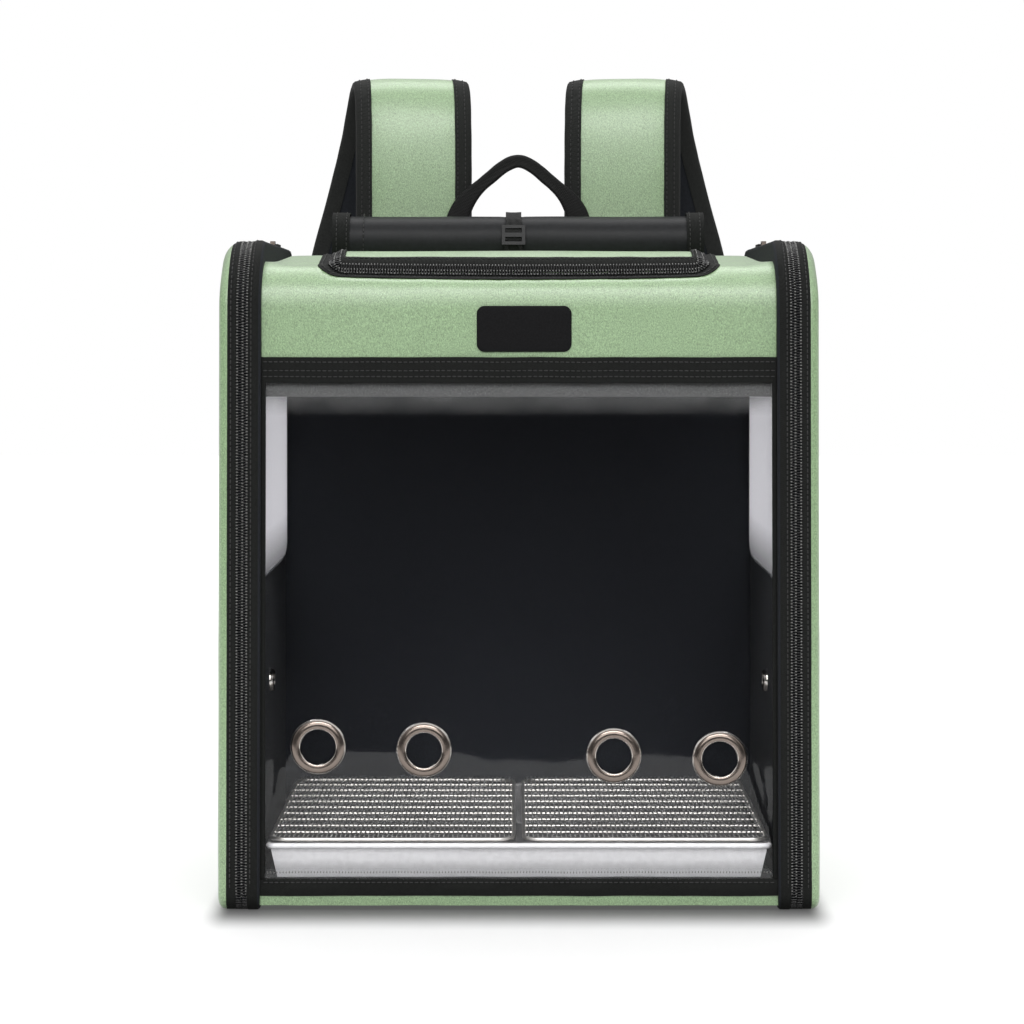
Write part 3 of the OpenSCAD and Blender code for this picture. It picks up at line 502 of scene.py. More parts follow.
class Skin:
    """Faces gathered loop by loop and made into one piece at the end."""

    def __init__(self, name: str) -> None:
        """Starts an empty skin."""
        self.name = name
        self.points: Row = []
        self.faces: list[tuple[int, ...]] = []
        self.slots: list[int] = []

    def add(self, points: Iterable[Vector]) -> list[int]:
        """Adds points and gives their numbers."""
        start = len(self.points)
        self.points += points
        return list(range(start, len(self.points)))

    def face(self, ids: Iterable[int], slot: int = 0) -> None:
        """Adds one face."""
        self.faces.append(tuple(ids))
        self.slots.append(slot)

    def band(self, a: Sequence[int], b: Sequence[int], slot: int = 0, closed: bool = True) -> None:
        """Joins two loops of the same number of points with four-sided faces."""
        n = len(a)
        for k in range(n if closed else n - 1):
            self.face((a[k], a[(k + 1) % n], b[(k + 1) % n], b[k]), slot)

    def rings(self, rows: Sequence[Row], slots: Sequence[int] | int = 0, round_trip: bool = False) -> None:
        """Joins rows of points one after another.

        Args:
            rows: Closed loops with equal numbers of points.
            slots: Material number of each band, or one for all.
            round_trip: Joins the last loop to the first; otherwise both ends are closed flat.
        """
        ids = [self.add(row) for row in rows]
        pairs = list(zip(ids, ids[1:] + ids[:1] if round_trip else ids[1:]))
        for k, (a, b) in enumerate(pairs):
            self.band(a, b, slots if isinstance(slots, int) else slots[k])
        if not round_trip:
            self.face(ids[0], slots if isinstance(slots, int) else slots[0])
            self.face(reversed(ids[-1]), slots if isinstance(slots, int) else slots[-1])

    def slab(
        self, outer: Sequence[Row], inner: Sequence[Row], slots: tuple[int, int] = (0, 0),
        skip: Callable[[int, int], bool] = lambda i, j: False,
    ) -> None:
        """Closed plate between two grids of points of the same size.

        Args:
            outer: Rows of the outer face.
            inner: Rows of the inner face.
            slots: Material numbers of the outer face with the edges, and of the inner face.
            skip: Says which cells are left open.
        """
        rows, columns = len(outer) - 1, len(outer[0]) - 1
        top = [self.add(row) for row in outer]
        low = [self.add(row) for row in inner]
        kept = {(i, j) for i in range(rows) for j in range(columns) if not skip(i, j)}
        for i, j in kept:
            self.face((top[i][j], top[i][j + 1], top[i + 1][j + 1], top[i + 1][j]), slots[0])
            self.face((low[i][j], low[i + 1][j], low[i + 1][j + 1], low[i][j + 1]), slots[1])
            for di, dj, p, q in (
                (-1, 0, (i, j), (i, j + 1)), (1, 0, (i + 1, j), (i + 1, j + 1)),
                (0, -1, (i, j), (i + 1, j)), (0, 1, (i, j + 1), (i + 1, j + 1)),
            ):
                if (i + di, j + dj) not in kept:
                    self.face((top[p[0]][p[1]], top[q[0]][q[1]], low[q[0]][q[1]], low[p[0]][p[1]]), slots[0])

    def mesh(self, finishes: Sequence[Finish] = (), welded: bool = False) -> bpy.types.Mesh:
        """The faces as a mesh that faces outward; welded joins points that lie together and drops loose ones."""
        mesh = bpy.data.meshes.new(self.name)
        mesh.from_pydata([tuple(p) for p in self.points], [], self.faces)
        for finish in finishes:
            mesh.materials.append(finish.material())
        mesh.polygons.foreach_set("material_index", self.slots)
        work = bmesh.new()
        work.from_mesh(mesh)
        if welded:
            bmesh.ops.delete(work, geom=[v for v in work.verts if not v.link_faces], context="VERTS")
            bmesh.ops.remove_doubles(work, verts=work.verts, dist=1e-6)
        bmesh.ops.recalc_face_normals(work, faces=work.faces)
        work.to_mesh(mesh)
        work.free()
        return mesh

    def piece(
        self, finishes: Sequence[Finish], body: str, replaces: Sequence[str] = (), sharp: float = 42.0,
        cutters: Sequence[Thing] = (),
    ) -> Thing:
        """Makes the piece.

        Args:
            finishes: Finish for each material number.
            body: Body that the piece rides on.
            replaces: Nodes that it stands for.
            sharp: Angle in degrees from which an edge is shaded sharp.
            cutters: Objects whose volume is cut out of it.

        Returns:
            The finished object.
        """
        made = show(self.name, self.mesh(finishes, welded=True))
        if cutters:
            cut(made, cutters)
        for polygon in made.data.polygons:
            polygon.use_smooth = True
        made.data.set_sharp_from_angle(angle=math.radians(sharp))
        return settle(made, body, replaces)


def show(name: str, data: bpy.types.ID) -> Thing:
    """New object in the scene."""
    made = bpy.data.objects.new(name, data)
    bpy.context.scene.collection.objects.link(made)
    return made


def cut(made: Thing, cutters: Sequence[Thing]) -> None:
    """Cuts the cutters out of a piece and takes their modifiers off it again."""
    for cutter in cutters:
        modifier = made.modifiers.new("hole", "BOOLEAN")
        modifier.object = cutter
        modifier.solver = "EXACT"
    bake(made)


def bake(made: Thing) -> None:
    """Turns what the modifiers make into the object's plain mesh."""
    bpy.context.view_layer.update()
    graph = bpy.context.evaluated_depsgraph_get()
    mesh = bpy.data.meshes.new_from_object(made.evaluated_get(graph))
    made.modifiers.clear()
    made.data = mesh


def settle(made: Thing, body: str, replaces: Sequence[str] = ()) -> Thing:
    """Lets a piece ride on its body and hides the nodes that it stands for."""
    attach(made, body)
    if replaces:
        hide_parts(*replaces)
    LOG.info("%s: %d faces on %s", made.name, len(made.data.polygons), body)
    return made


def swell(made: Thing, pins: Sequence[int], cap: float, pressure: float = 4.0, frames: int = 20) -> None:
    """Fills a closed piece with a cloth simulation and keeps the result as its mesh.

    Args:
        made: The piece.
        pins: Vertices that are sewn down.
        cap: How far a point may move, in millimetres.
        pressure: Pressure inside.
        frames: Frames that the simulation runs for.
    """
    before = [v.co.copy() for v in made.data.vertices]
    group = made.vertex_groups.new(name="sewn")
    group.add(list(pins), 1.0, "REPLACE")
    cloth = made.modifiers.new("filling", "CLOTH")
    cloth.settings.vertex_group_mass = "sewn"
    cloth.settings.use_pressure = True
    cloth.settings.uniform_pressure_force = pressure
    cloth.settings.effector_weights.gravity = 0.0
    cloth.settings.quality = 6
    cloth.settings.mass = 0.3
    cloth.collision_settings.use_collision = False
    cloth.point_cache.frame_end = frames
    scene = bpy.context.scene
    for number in range(1, frames + 1):
        scene.frame_set(number)
    graph = bpy.context.evaluated_depsgraph_get()
    after = [v.co.copy() for v in made.evaluated_get(graph).data.vertices]
    made.modifiers.clear()
    made.vertex_groups.clear()
    scene.frame_set(1)
    moved = 0.0
    for vertex, old, new in zip(made.data.vertices, before, after):
        way = new - old
        if way.length > cap * MM:
            way *= cap * MM / way.length
        moved = max(moved, way.length / MM)
        vertex.co = old + way
    LOG.info("%s: swelled by up to %.1f mm", made.name, moved)


def rod_cutter(low: Vector, high: Vector, radius: float, sides: int = 40) -> Thing:
    """Round rod between two places, used to cut a hole; radius in millimetres."""
    axis = (high - low).normalized()
    u = axis.orthogonal().normalized()
    v = axis.cross(u)
    skin = Skin("cutter")
    skin.rings([
        [p + (u * math.cos(a) + v * math.sin(a)) * radius * MM for a in turns(sides)] for p in (low, high)
    ])
    return show("cutter", skin.mesh([LINING]))


def turned(centre: Vector, axis: Vector, profile: Sequence[tuple[float, float]], sides: int = 64) -> list[Row]:
    """Loops of a turned shape; profile gives radius and height along axis, in millimetres."""
    u = axis.orthogonal().normalized()
    v = axis.cross(u)
    return [
        [
            centre + ((u * math.cos(a) + v * math.sin(a)) * r + axis * h) * MM
            for a in turns(sides)
        ]
        for r, h in profile
    ]


# What repeats along a seam


class Repeats:
    """Geometry Nodes tree that sets copies of a small shape along paths."""

    def __init__(self) -> None:
        """Builds the tree with named inputs."""
        tree = bpy.data.node_groups.new("set_along_seam", "GeometryNodeTree")
        face = tree.interface
        for label, kind, default in (
            ("Geometry", "Geometry", None), ("Shape", "Object", None), ("Pitch", "Float", 0.003),
            ("Jitter", "Float", 0.05), ("Seed", "Int", 1), ("Finish", "Material", None),
        ):
            socket = face.new_socket(label, in_out="INPUT", socket_type=f"NodeSocket{kind}")
            if default is not None:
                socket.default_value = default
        face.new_socket("Geometry", in_out="OUTPUT", socket_type="NodeSocketGeometry")
        start = tree.nodes.new("NodeGroupInput")
        end = tree.nodes.new("NodeGroupOutput")
        curve = put(tree, "GeometryNodeMeshToCurve", {"Mesh": start.outputs["Geometry"]})
        spaced = put(
            tree, "GeometryNodeResampleCurve", {"Curve": curve.outputs[0], "Length": start.outputs["Pitch"]},
            mode="LENGTH",
        )
        along = put(
            tree, "FunctionNodeAlignRotationToVector",
            {"Vector": tree.nodes.new("GeometryNodeInputTangent").outputs[0]}, axis="X",
        )
        up = put(tree, "GeometryNodeInputNamedAttribute", {"Name": "up"}, data_type="FLOAT_VECTOR")
        upright = put(
            tree, "FunctionNodeAlignRotationToVector",
            {"Rotation": along.outputs[0], "Vector": up.outputs[0]}, axis="Z", pivot_axis="X",
        )
        size = put(tree, "FunctionNodeRandomValue", data_type="FLOAT")
        for operation, name in (("SUBTRACT", "Min"), ("ADD", "Max")):
            socket = next(s for s in size.inputs if s.name == name and s.type == "VALUE")
            tree.links.new(maths(tree, operation, 1.0, start.outputs["Jitter"]), socket)
        tree.links.new(start.outputs["Seed"], next(s for s in size.inputs if s.name == "Seed"))
        shape = put(tree, "GeometryNodeObjectInfo", {"Object": start.outputs["Shape"]}, transform_space="ORIGINAL")
        copies = put(tree, "GeometryNodeInstanceOnPoints", {
            "Points": spaced.outputs[0], "Instance": shape.outputs["Geometry"], "Rotation": upright.outputs[0],
            "Scale": next(s for s in size.outputs if s.type == "VALUE" and s.enabled),
        })
        real = put(tree, "GeometryNodeRealizeInstances", {"Geometry": copies.outputs[0]})
        dressed = put(
            tree, "GeometryNodeSetMaterial", {"Geometry": real.outputs[0], "Material": start.outputs["Finish"]}
        )
        tree.links.new(dressed.outputs[0], end.inputs["Geometry"])
        self.tree = tree
        self.sockets = {item.name: item.identifier for item in face.items_tree if item.in_out == "INPUT"}
        self.shapes: dict[str, Thing] = {}

    def shape(self, name: str, sections: Sequence[tuple[float, float, float]], sides: int = 6) -> Thing:
        """A small rounded bar along X.

        Args:
            name: Name that it is kept under.
            sections: Place along X, half width and half height of each section, in millimetres.
            sides: Points of each section.

        Returns:
            The shape, made the first time it is asked for.
        """
        if name in self.shapes:
            return self.shapes[name]
        skin = Skin(name)
        skin.rings([
            [Vector((x, w * math.cos(a), h * math.sin(a))) * MM for a in turns(sides)] for x, w, h in sections
        ])
        made = show(name, skin.mesh())
        for polygon in made.data.polygons:
            polygon.use_smooth = True
        self.shapes[name] = made
        return made

    def bar(self, name: str, line: Sequence[tuple[float, float]], radius: float) -> Thing:
        """A thin wire along Y; line gives its places along Y and their heights, in millimetres."""
        made = self.shape(name, [(y, radius, radius) for y, _ in line], sides=5)
        if not made.get("lifted"):
            for number, vertex in enumerate(made.data.vertices):
                x, y, z = vertex.co
                vertex.co = (y, x, z + line[number // 5][1] * MM)
            made.data.flip_normals()
            made["lifted"] = True
        return made

    def stitch(self) -> Thing:
        """One stitch, 2.3 mm long."""
        half = [(1.15, 0.1, 0.05), (0.8, 0.32, 0.3)]
        return self.shape("stitch_shape", [(-x, w, h) for x, w, h in half] + half[::-1])

    def pale_dot(self) -> Thing:
        """One pale dot lying across a path: a painted highlight on one turn of a coil, and a stitch of the hem."""
        half = [(0.3, 0.35, 0.1), (0.15, 0.6, 0.3)]
        return self.shape("small_stitch_shape", [(-x, w, h) for x, w, h in half] + half[::-1])

    def tooth(self) -> Thing:
        """One turn of a coil, lying across its path."""
        if "tooth" in self.shapes:
            return self.shapes["tooth"]
        made = self.shape("tooth", [
            (-1.8, 0.2, 0.3), (-1.45, 0.46, 0.85), (-0.7, 0.36, 0.8), (0.9, 0.36, 0.8), (1.6, 0.56, 0.95),
            (2.05, 0.22, 0.4),
        ])
        for vertex in made.data.vertices:
            x, y, z = vertex.co
            vertex.co = (y, x, z)
        made.data.flip_normals()
        return made

    def along(
        self, name: str, body: str, paths: Sequence[Seam], shape: Thing,
        pitch: float, finish: Finish, replaces: Sequence[str] = (), jitter: float = 0.06, seed: int = 3,
    ) -> Thing:
        """Sets copies of a shape along paths.

        Args:
            name: Name of the piece.
            body: Body that it rides on.
            paths: Each path's places with the direction that is up there.
            shape: What is repeated.
            pitch: Distance from one to the next, in millimetres.
            finish: Finish of the copies.
            replaces: Nodes that the piece stands for.
            jitter: Share by which their size varies.
            seed: Seed of that variation.

        Returns:
            The finished object.
        """
        mesh = bpy.data.meshes.new(name)
        points, edges, ups = [], [], []
        for path in paths:
            first = len(points)
            points += [tuple(p) for p, _ in path]
            ups += [tuple(n) for _, n in path]
            edges += [(first + k, first + k + 1) for k in range(len(path) - 1)]
        mesh.from_pydata(points, edges, [])
        attribute = mesh.attributes.new("up", "FLOAT_VECTOR", "POINT")
        attribute.data.foreach_set("vector", [c for n in ups for c in n])
        made = show(name, mesh)
        modifier = made.modifiers.new("repeats", "NODES")
        modifier.node_group = self.tree
        for label, value in (
            ("Shape", shape), ("Pitch", pitch * MM), ("Jitter", jitter), ("Seed", seed), ("Finish", finish.material()),
        ):
            modifier[self.sockets[label]] = value
        bake(made)
        return settle(made, body, replaces)

    def sew(self, name: str, body: str, paths: Sequence[Seam], pitch: float = 3.1) -> None:
        """Rows of black stitches."""
        self.along(name, body, paths, self.stitch(), pitch, THREAD)

    def dots(self, name: str, body: str, paths: Sequence[Seam]) -> None:
        """Rows of pale dots: painted highlights on the tops of a coil's turns, and stitches on the hem."""
        self.along(name, body, paths, self.pale_dot(), 1.8, PALE_STITCH_AND_GLINT)

    def coil(self, name: str, body: str, path: Seam, node: str) -> None:
        """Half of a zip's coil, which stands for a node."""
        self.along(name, body, [path], self.tooth(), TOOTH_PITCH, COIL, [node], jitter=0.03)

    def clear(self) -> None:
        """Takes the shapes out of the scene."""
        for made in self.shapes.values():
            bpy.data.objects.remove(made)
        self.shapes.clear()


# Outlines of the bag


@dataclass(frozen=True)
class Outline:
    """Rounded outline in the bag's Y-Z plane whose points can be drawn in along their normals."""

    y0: float
    y1: float
    z0: float
    z1: float
    radii: tuple[float, float, float, float]
    arc: int = 12
    span: int = 14

    def points(self) -> list[tuple[float, float, float, float]]:
        """Points y, z with their outward normals: front foot, floor side, back, top and front."""
        r = self.radii
        corners = (
            (self.y0 + r[0], self.z0 + r[0], 180, r[0]), (self.y1 - r[1], self.z0 + r[1], 270, r[1]),
            (self.y1 - r[2], self.z1 - r[2], 0, r[2]), (self.y0 + r[3], self.z1 - r[3], 90, r[3]),
        )
        out: list[tuple[float, float, float, float]] = []
        for k, (cy, cz, start, radius) in enumerate(corners):
            for step in range(self.arc + 1):
                a = math.radians(start + 90 * step / self.arc)
                out.append((cy + radius * math.cos(a), cz + radius * math.sin(a), math.cos(a), math.sin(a)))
            cy2, cz2, start2, radius2 = corners[(k + 1) % 4]
            b = math.radians(start2)
            ey, ez = cy2 + radius2 * math.cos(b), cz2 + radius2 * math.sin(b)
            sy, sz, ny, nz = out[-1]
            for step in range(1, self.span):
                t = step / self.span
                out.append((sy + (ey - sy) * t, sz + (ez - sz) * t, ny, nz))
        return out

    def ring(self, sign: int, x: float | Inset, inset: float | Inset) -> Row:
        """Places of the outline at a plane across the bag, drawn in by inset.

        Args:
            sign: Side of the bag.
            x: Distance from the middle, or a function of y and z that gives it.
            inset: How far the outline is drawn in, or a function of y and z.

        Returns:
            The places, in metres.
        """
        row = []
        for y, z, ny, nz in self.points():
            d = inset(y, z) if callable(inset) else inset
            row.append(at(sign * (x(y, z) if callable(x) else x), y - d * ny, z - d * nz))
        return row


@dataclass(frozen=True)
class Bag:
    """Sizes that several pieces share, in millimetres in the bag's frame."""

    x_out: float = 172.5
    x_tape: float = 166.4
    x_coil: float = 162.0
    x_split: float = 158.5
    x_frame: float = 155.0
    x_in: float = 148.0
    x_plug: float = 152.5
    y_front: float = -130.0
    y_back: float = 130.0
    y_window: float = -124.0
    y_cabin_back: float = 117.3
    y_zip_end: float = 94.0
    z_top: float = 375.0
    height: float = 387.0
    top_radius: float = 26.0
    band_z: float = 319.0
    header_z: float = 306.0
    sill_z: float = 18.7
    floor_z: float = 11.0
    base_z: float = 4.0

    def frame(self, arc: int = 12, span: int = 14) -> Outline:
        """Outline of the side frames, with its points to each corner and each straight run."""
        return Outline(self.y_front, self.y_back, 0, self.height, (10, 20, 26, 40), arc, span)

    def side_window(self, grow: float = 0.0) -> Outline:
        """Outline of a door's window, drawn out by grow."""
        r = 18 + grow
        return Outline(-107 - grow, 107 + grow, 182 - grow, 334 + grow, (r, r, r, r))

    def drift(self, z: float) -> float:
        """How far the side zips stray outwards towards the floor."""
        return 1.5 * (1 - min(z, self.height) / self.height)

    def lean(self, y: float, z: float) -> float:
        """How far the soft sides lean in at the shoulder."""
        return 0.3 * ramp(z, 352, 384) * (1 - ramp(y, -92, -50))

    def drop(self, x: float, z: float) -> float:
        """How far the rounded upper edge lies under the outline at a distance from the middle."""
        a = min(11.4, max(0.0, x - 160.8))
        return (11.6 - math.sqrt(134.6 - a * a)) * ramp(z, 350, 378)

    def soft_ring(self, side: Side, x: float, inset: float | Inset) -> Row:
        """Outline of the side frames at a plane across the bag, with its lean, drift and rounded upper edge."""

        def inward(y: float, z: float) -> float:
            """Inset there."""
            return (inset(y, z) if callable(inset) else inset) + self.drop(x, z)

        return self.frame().ring(side.sign, lambda y, z: x + self.drift(z) - self.lean(y, z), inward)


BAG = Bag()


@dataclass
class SideZip:
    """Path of the teeth of a side zip."""

    side: Side

    def path(self, x: float, inset: float, start: float = 0.0) -> Seam:
        """Places along the top, the front and the foot, with the way out.

        Args:
            x: Distance from the middle of the bag.
            inset: How far the path lies under the outline.
            start: Length by which the path starts late.

        Returns:
            Places with the direction that is up there.
        """
        points = BAG.frame(arc=24, span=40).points()
        behind = [k for k, point in enumerate(points) if point[0] >= BAG.y_zip_end]
        run = points[behind[-1] + 1:] + points[:behind[0]]
        run = [(BAG.y_zip_end - start, BAG.height, 0.0, 1.0), *run, (BAG.y_zip_end, 0.0, 0.0, -1.0)]
        path = []
        for y, z, ny, nz in run:
            deep = max(inset + BAG.drop(x, z), 1.0) if z < 15 else inset + BAG.drop(x, z)
            across = x + BAG.drift(z) - BAG.lean(y, z)
            path.append((at(self.side.sign * across, y - deep * ny, z - deep * nz), Vector((0, ny, nz))))
        return path


@dataclass
class SideDoor:
    """Padded door with its clear window, zip half, binding, perch eyelet and sewn hinge."""

    side: Side
    edge_radius: float = 4.5
    face_drop: float = 0.5
    face_bulge: float = 0.7
    perch_y: float = -10.0
    perch_z: float = 120.0
    perch_bore: float = 5.05
    perch_recess: float = 9.2
    hinge_z: tuple[float, float] = (46.0, 341.0)

    def build(self, repeats: Repeats) -> None:
        """Builds every piece of the door."""
        self.board()
        self.tape(repeats)
        self.teeth(repeats)
        self.window(repeats)
        self.eyelet()
        self.hinge(repeats)

    @property
    def body(self) -> str:
        """Body that the door's pieces ride on."""
        return f"{self.side.value}_door"

    def node(self, name: str) -> str:
        """Name of one of the door's nodes."""
        return f"{self.side.value}_{name}"

    def board(self) -> None:
        """Green cover outside and black lining inside, as one closed shell round the window."""
        s, frame = self.side.sign, BAG.frame()

        def lifted(inset: float) -> Inset:
            """Inset that keeps the door's foot off the floor."""
            return lambda y, z: max(inset, 0.5) if z < 15 else inset

        rows = [frame.ring(s, x, inset) for x, inset in (
            (BAG.x_plug, 17.0), (BAG.x_plug + 0.3, 14.6), (BAG.x_plug + 1.2, 14.0), (BAG.x_split + 0.6, 14.0),
            (BAG.x_split + 0.7, 5.2),
        )]
        rows += [BAG.soft_ring(self.side, x, inset) for x, inset in (
            (BAG.x_coil, 5.0), (BAG.x_coil + 0.2, lifted(0.9)), (BAG.x_tape - 0.2, lifted(0.9)),
            (BAG.x_tape + 0.2, lifted(0.1)),
        )]
        slots = [1] * 7 + [0, 0]
        start = BAG.x_tape + 0.9
        for share in (0.0, 0.2, 0.4, 0.6, 0.8, 1.0):
            a = share * math.pi / 2
            x = start + (BAG.x_out - self.face_drop - start) * math.sin(a)
            curl = self.edge_radius * (1 - math.cos(a))

            def rounded(y: float, z: float, curl: float = curl) -> float:
                """Inset of the rim, whose upper part is rounded by the outline itself."""
                return 0.5 * (z < 15) + curl * (1 - ramp(z, 350, 378))

            rows.append(BAG.soft_ring(self.side, x, rounded))
            slots.append(0)
        outer = rows[-1]
        inner = BAG.side_window(8.0).ring(s, BAG.x_out - 0.9, 0)
        steps = 12
        for k in range(1, steps + 1):
            t = k / steps
            row = []
            for a, b in zip(outer, inner):
                p = a.lerp(b, t)
                span = (a - b).length / MM
                swell = self.face_bulge * (4 * t * (1 - t)) ** 0.6 * min(1.0, span / 60)
                crease = 0.5 * ripple(p.y / MM, p.z / MM, 7 * s, 34) * math.sin(math.pi * t)
                p.x = s * (abs(p.x) + (swell + crease) * MM)
                row.append(p)
            rows.append(row)
            slots.append(0)
        window = BAG.side_window()
        rows += [window.ring(s, x, inset) for x, inset in (
            (BAG.x_out - 0.9, 0.4), (BAG.x_out - 2.4, 0), (BAG.x_plug + 2.5, 0), (BAG.x_plug + 1.4, 4), (BAG.x_plug, 4),
        )]
        slots += [0, 1, 1, 1, 1]
        last = rows[-1]
        for k in (1, 2, 3):
            rows.append([a.lerp(b, k / 4) for a, b in zip(last, rows[0])])
            slots.append(1)
        skin = Skin(self.node("padded_door"))
        skin.rings(rows, slots, round_trip=True)
        hole = at(s * BAG.x_plug, self.perch_y, self.perch_z)
        out = Vector((s, 0, 0))
        cutters = [
            rod_cutter(hole - out * 0.005, hole + out * 0.04, self.perch_bore),
            rod_cutter(hole + out * 0.002, hole + out * 0.04, self.perch_recess),
        ]
        made = skin.piece([GREEN, LINING], self.body, [self.node("door_panel")], cutters=cutters)
        for cutter in cutters:
            bpy.data.objects.remove(cutter)

    def tape(self, repeats: Repeats) -> None:
        """Zip tape folded over the door's edge, with a row of stitches."""
        s = self.side.sign

        def wavy(inset: float) -> Inset:
            """Inset with the tape's slight waves, never below the floor."""
            return lambda y, z: max(inset - 0.12 * ripple(y, z, s * 9, 22), 0.35 if z < 15 else -1)

        rows = [
            BAG.soft_ring(self.side, x, wavy(inset))
            for x, inset in (
                (BAG.x_coil - 0.3, 0.25), (BAG.x_coil + 0.2, -0.1), (BAG.x_coil + 1.8, -0.3), (BAG.x_tape - 2, -0.3),
                (BAG.x_tape + 0.5, -0.15), (BAG.x_tape + 0.7, 0.2), (BAG.x_tape + 0.2, 0.8), (BAG.x_coil - 0.3, 0.8),
            )
        ]
        skin = Skin(self.node("door_zip_tape"))
        skin.rings(rows, 0, round_trip=True)
        skin.piece([TAPE], self.body, [self.node("door_tape")])
        path = SideZip(self.side).path(BAG.x_tape - 1.4, -0.3)
        repeats.sew(self.node("door_tape_stitches"), self.body, [path])

    def teeth(self, repeats: Repeats) -> None:
        """This half of the coil and the painted highlights on its turns."""
        zipper = SideZip(self.side)
        coil = zipper.path(BAG.x_coil - 1.75, 0.9)
        repeats.coil(self.node("door_teeth"), self.body, coil, self.node("door_coil"))
        repeats.dots(self.node("door_coil_stitches"), self.body, [zipper.path(BAG.x_coil - 0.7, 0.1)])

    def window(self, repeats: Repeats) -> None:
        """Clear film with a slight bulge, and the tape sewn round it."""
        s = self.side.sign
        window = BAG.side_window()
        x0 = BAG.x_plug
        skin = Skin(self.node("side_film"))
        front = [(0.3, 2.4), (4.3, 2.1), (5.2, 0.8), (7.5, -0.7), (11.0, -1.5), (17.0, -1.8)]
        rows = [window.ring(s, x0 + x, inset) for inset, x in front]
        back = [window.ring(s, x0 + x - 0.8, inset) for inset, x in reversed(front)]
        skin.rings(list(reversed(rows)) + list(reversed(back)))
        skin.piece([SIDE_FILM], self.body, [self.node("door_window")])
        binding = Skin(self.node("side_window_tape"))
        binding.rings(
            [
                BAG.side_window(8.8).ring(s, x, d)
                for x, d in (
                    (BAG.x_out - 1.2, -0.1), (BAG.x_out - 0.1, 0.0), (BAG.x_out + 0.35, 0.9), (BAG.x_out + 0.4, 5.0),
                    (BAG.x_out + 0.1, 8.3), (BAG.x_out - 0.5, 9.2), (BAG.x_out - 2.2, 9.3), (BAG.x_out - 2.2, 6.0),
                )
            ],
            0, round_trip=True,
        )
        binding.piece([TAPE], self.body, [self.node("window_binding")])
        paths = []
        for inset in (1.7, 7.2):
            ring = BAG.side_window(8.8).ring(s, BAG.x_out + 0.4, inset)
            paths.append([(p, Vector((s, 0, 0))) for p in (*ring, ring[0])])
        repeats.sew(self.node("window_tape_stitches"), self.body, paths, 3.0)

    def eyelet(self) -> None:
        """Small eyelet for a perch and its washer."""
        s = self.side.sign
        centre, out = at(s * BAG.x_plug, self.perch_y, self.perch_z), Vector((s, 0, 0))
        skin = Skin(self.node("perch_rim"))
        # Rows with slot 1 take the bright copy of the nickel: painted highlights.
        skin.rings(
            turned(centre, out, [
                (4.0, -1.2), (4.5, -2.4), (5.4, -2.8), (6.4, -2.1), (7.1, -0.7), (7.2, 0.0), (6.6, 0.0),
                (5.0, -0.3), (5.0, 2.1), (4.0, 2.1),
            ], 40), (1, 1, 0, 1, 1, 0, 0, 0, 0, 1), round_trip=True,
        )
        skin.rings(
            turned(centre + out * 0.002, out, [(5.05, 0), (6.8, 0), (6.8, 0.5), (5.8, 1.1), (5.05, 0.9)], 40), 0,
            round_trip=True,
        )
        skin.piece([NICKEL_PAINTED_DARK, NICKEL_PAINTED_HIGHLIGHT], self.body, [self.node("perch_eyelet")], sharp=60)

    def hinge(self, repeats: Repeats) -> None:
        """Sewn tape along the back edge, which the door turns on."""
        s = self.side.sign
        z0, z1 = self.hinge_z
        rows_outer, rows_inner = [], []
        for z in spread(z0, z1, 40):
            bow = 0.25 * ripple(0, z, s * 5, 20)
            columns = spread(BAG.x_split + 0.5, BAG.x_tape + 0.6, 6)
            rows_outer.append([at(s * x, BAG.y_back + 1.2 + bow * (k % 5 > 0), z) for k, x in enumerate(columns)])
            rows_inner.append([at(s * x, BAG.y_back - 0.3, z) for x in columns])
        skin = Skin(self.node("hinge_strip"))
        skin.slab(rows_outer, rows_inner)
        skin.piece([TAPE], self.body, [self.node("hinge_tape")])
        paths = [
            [(at(s * x, BAG.y_back + 1.35, z), Vector((0, 1, 0))) for z in spread(z0 + 2, z1 - 2, 30)]
            for x in (BAG.x_split + 2.0, BAG.x_tape - 1.6)
        ]
        repeats.sew(self.node("hinge_stitches"), self.body, paths, 3.2)


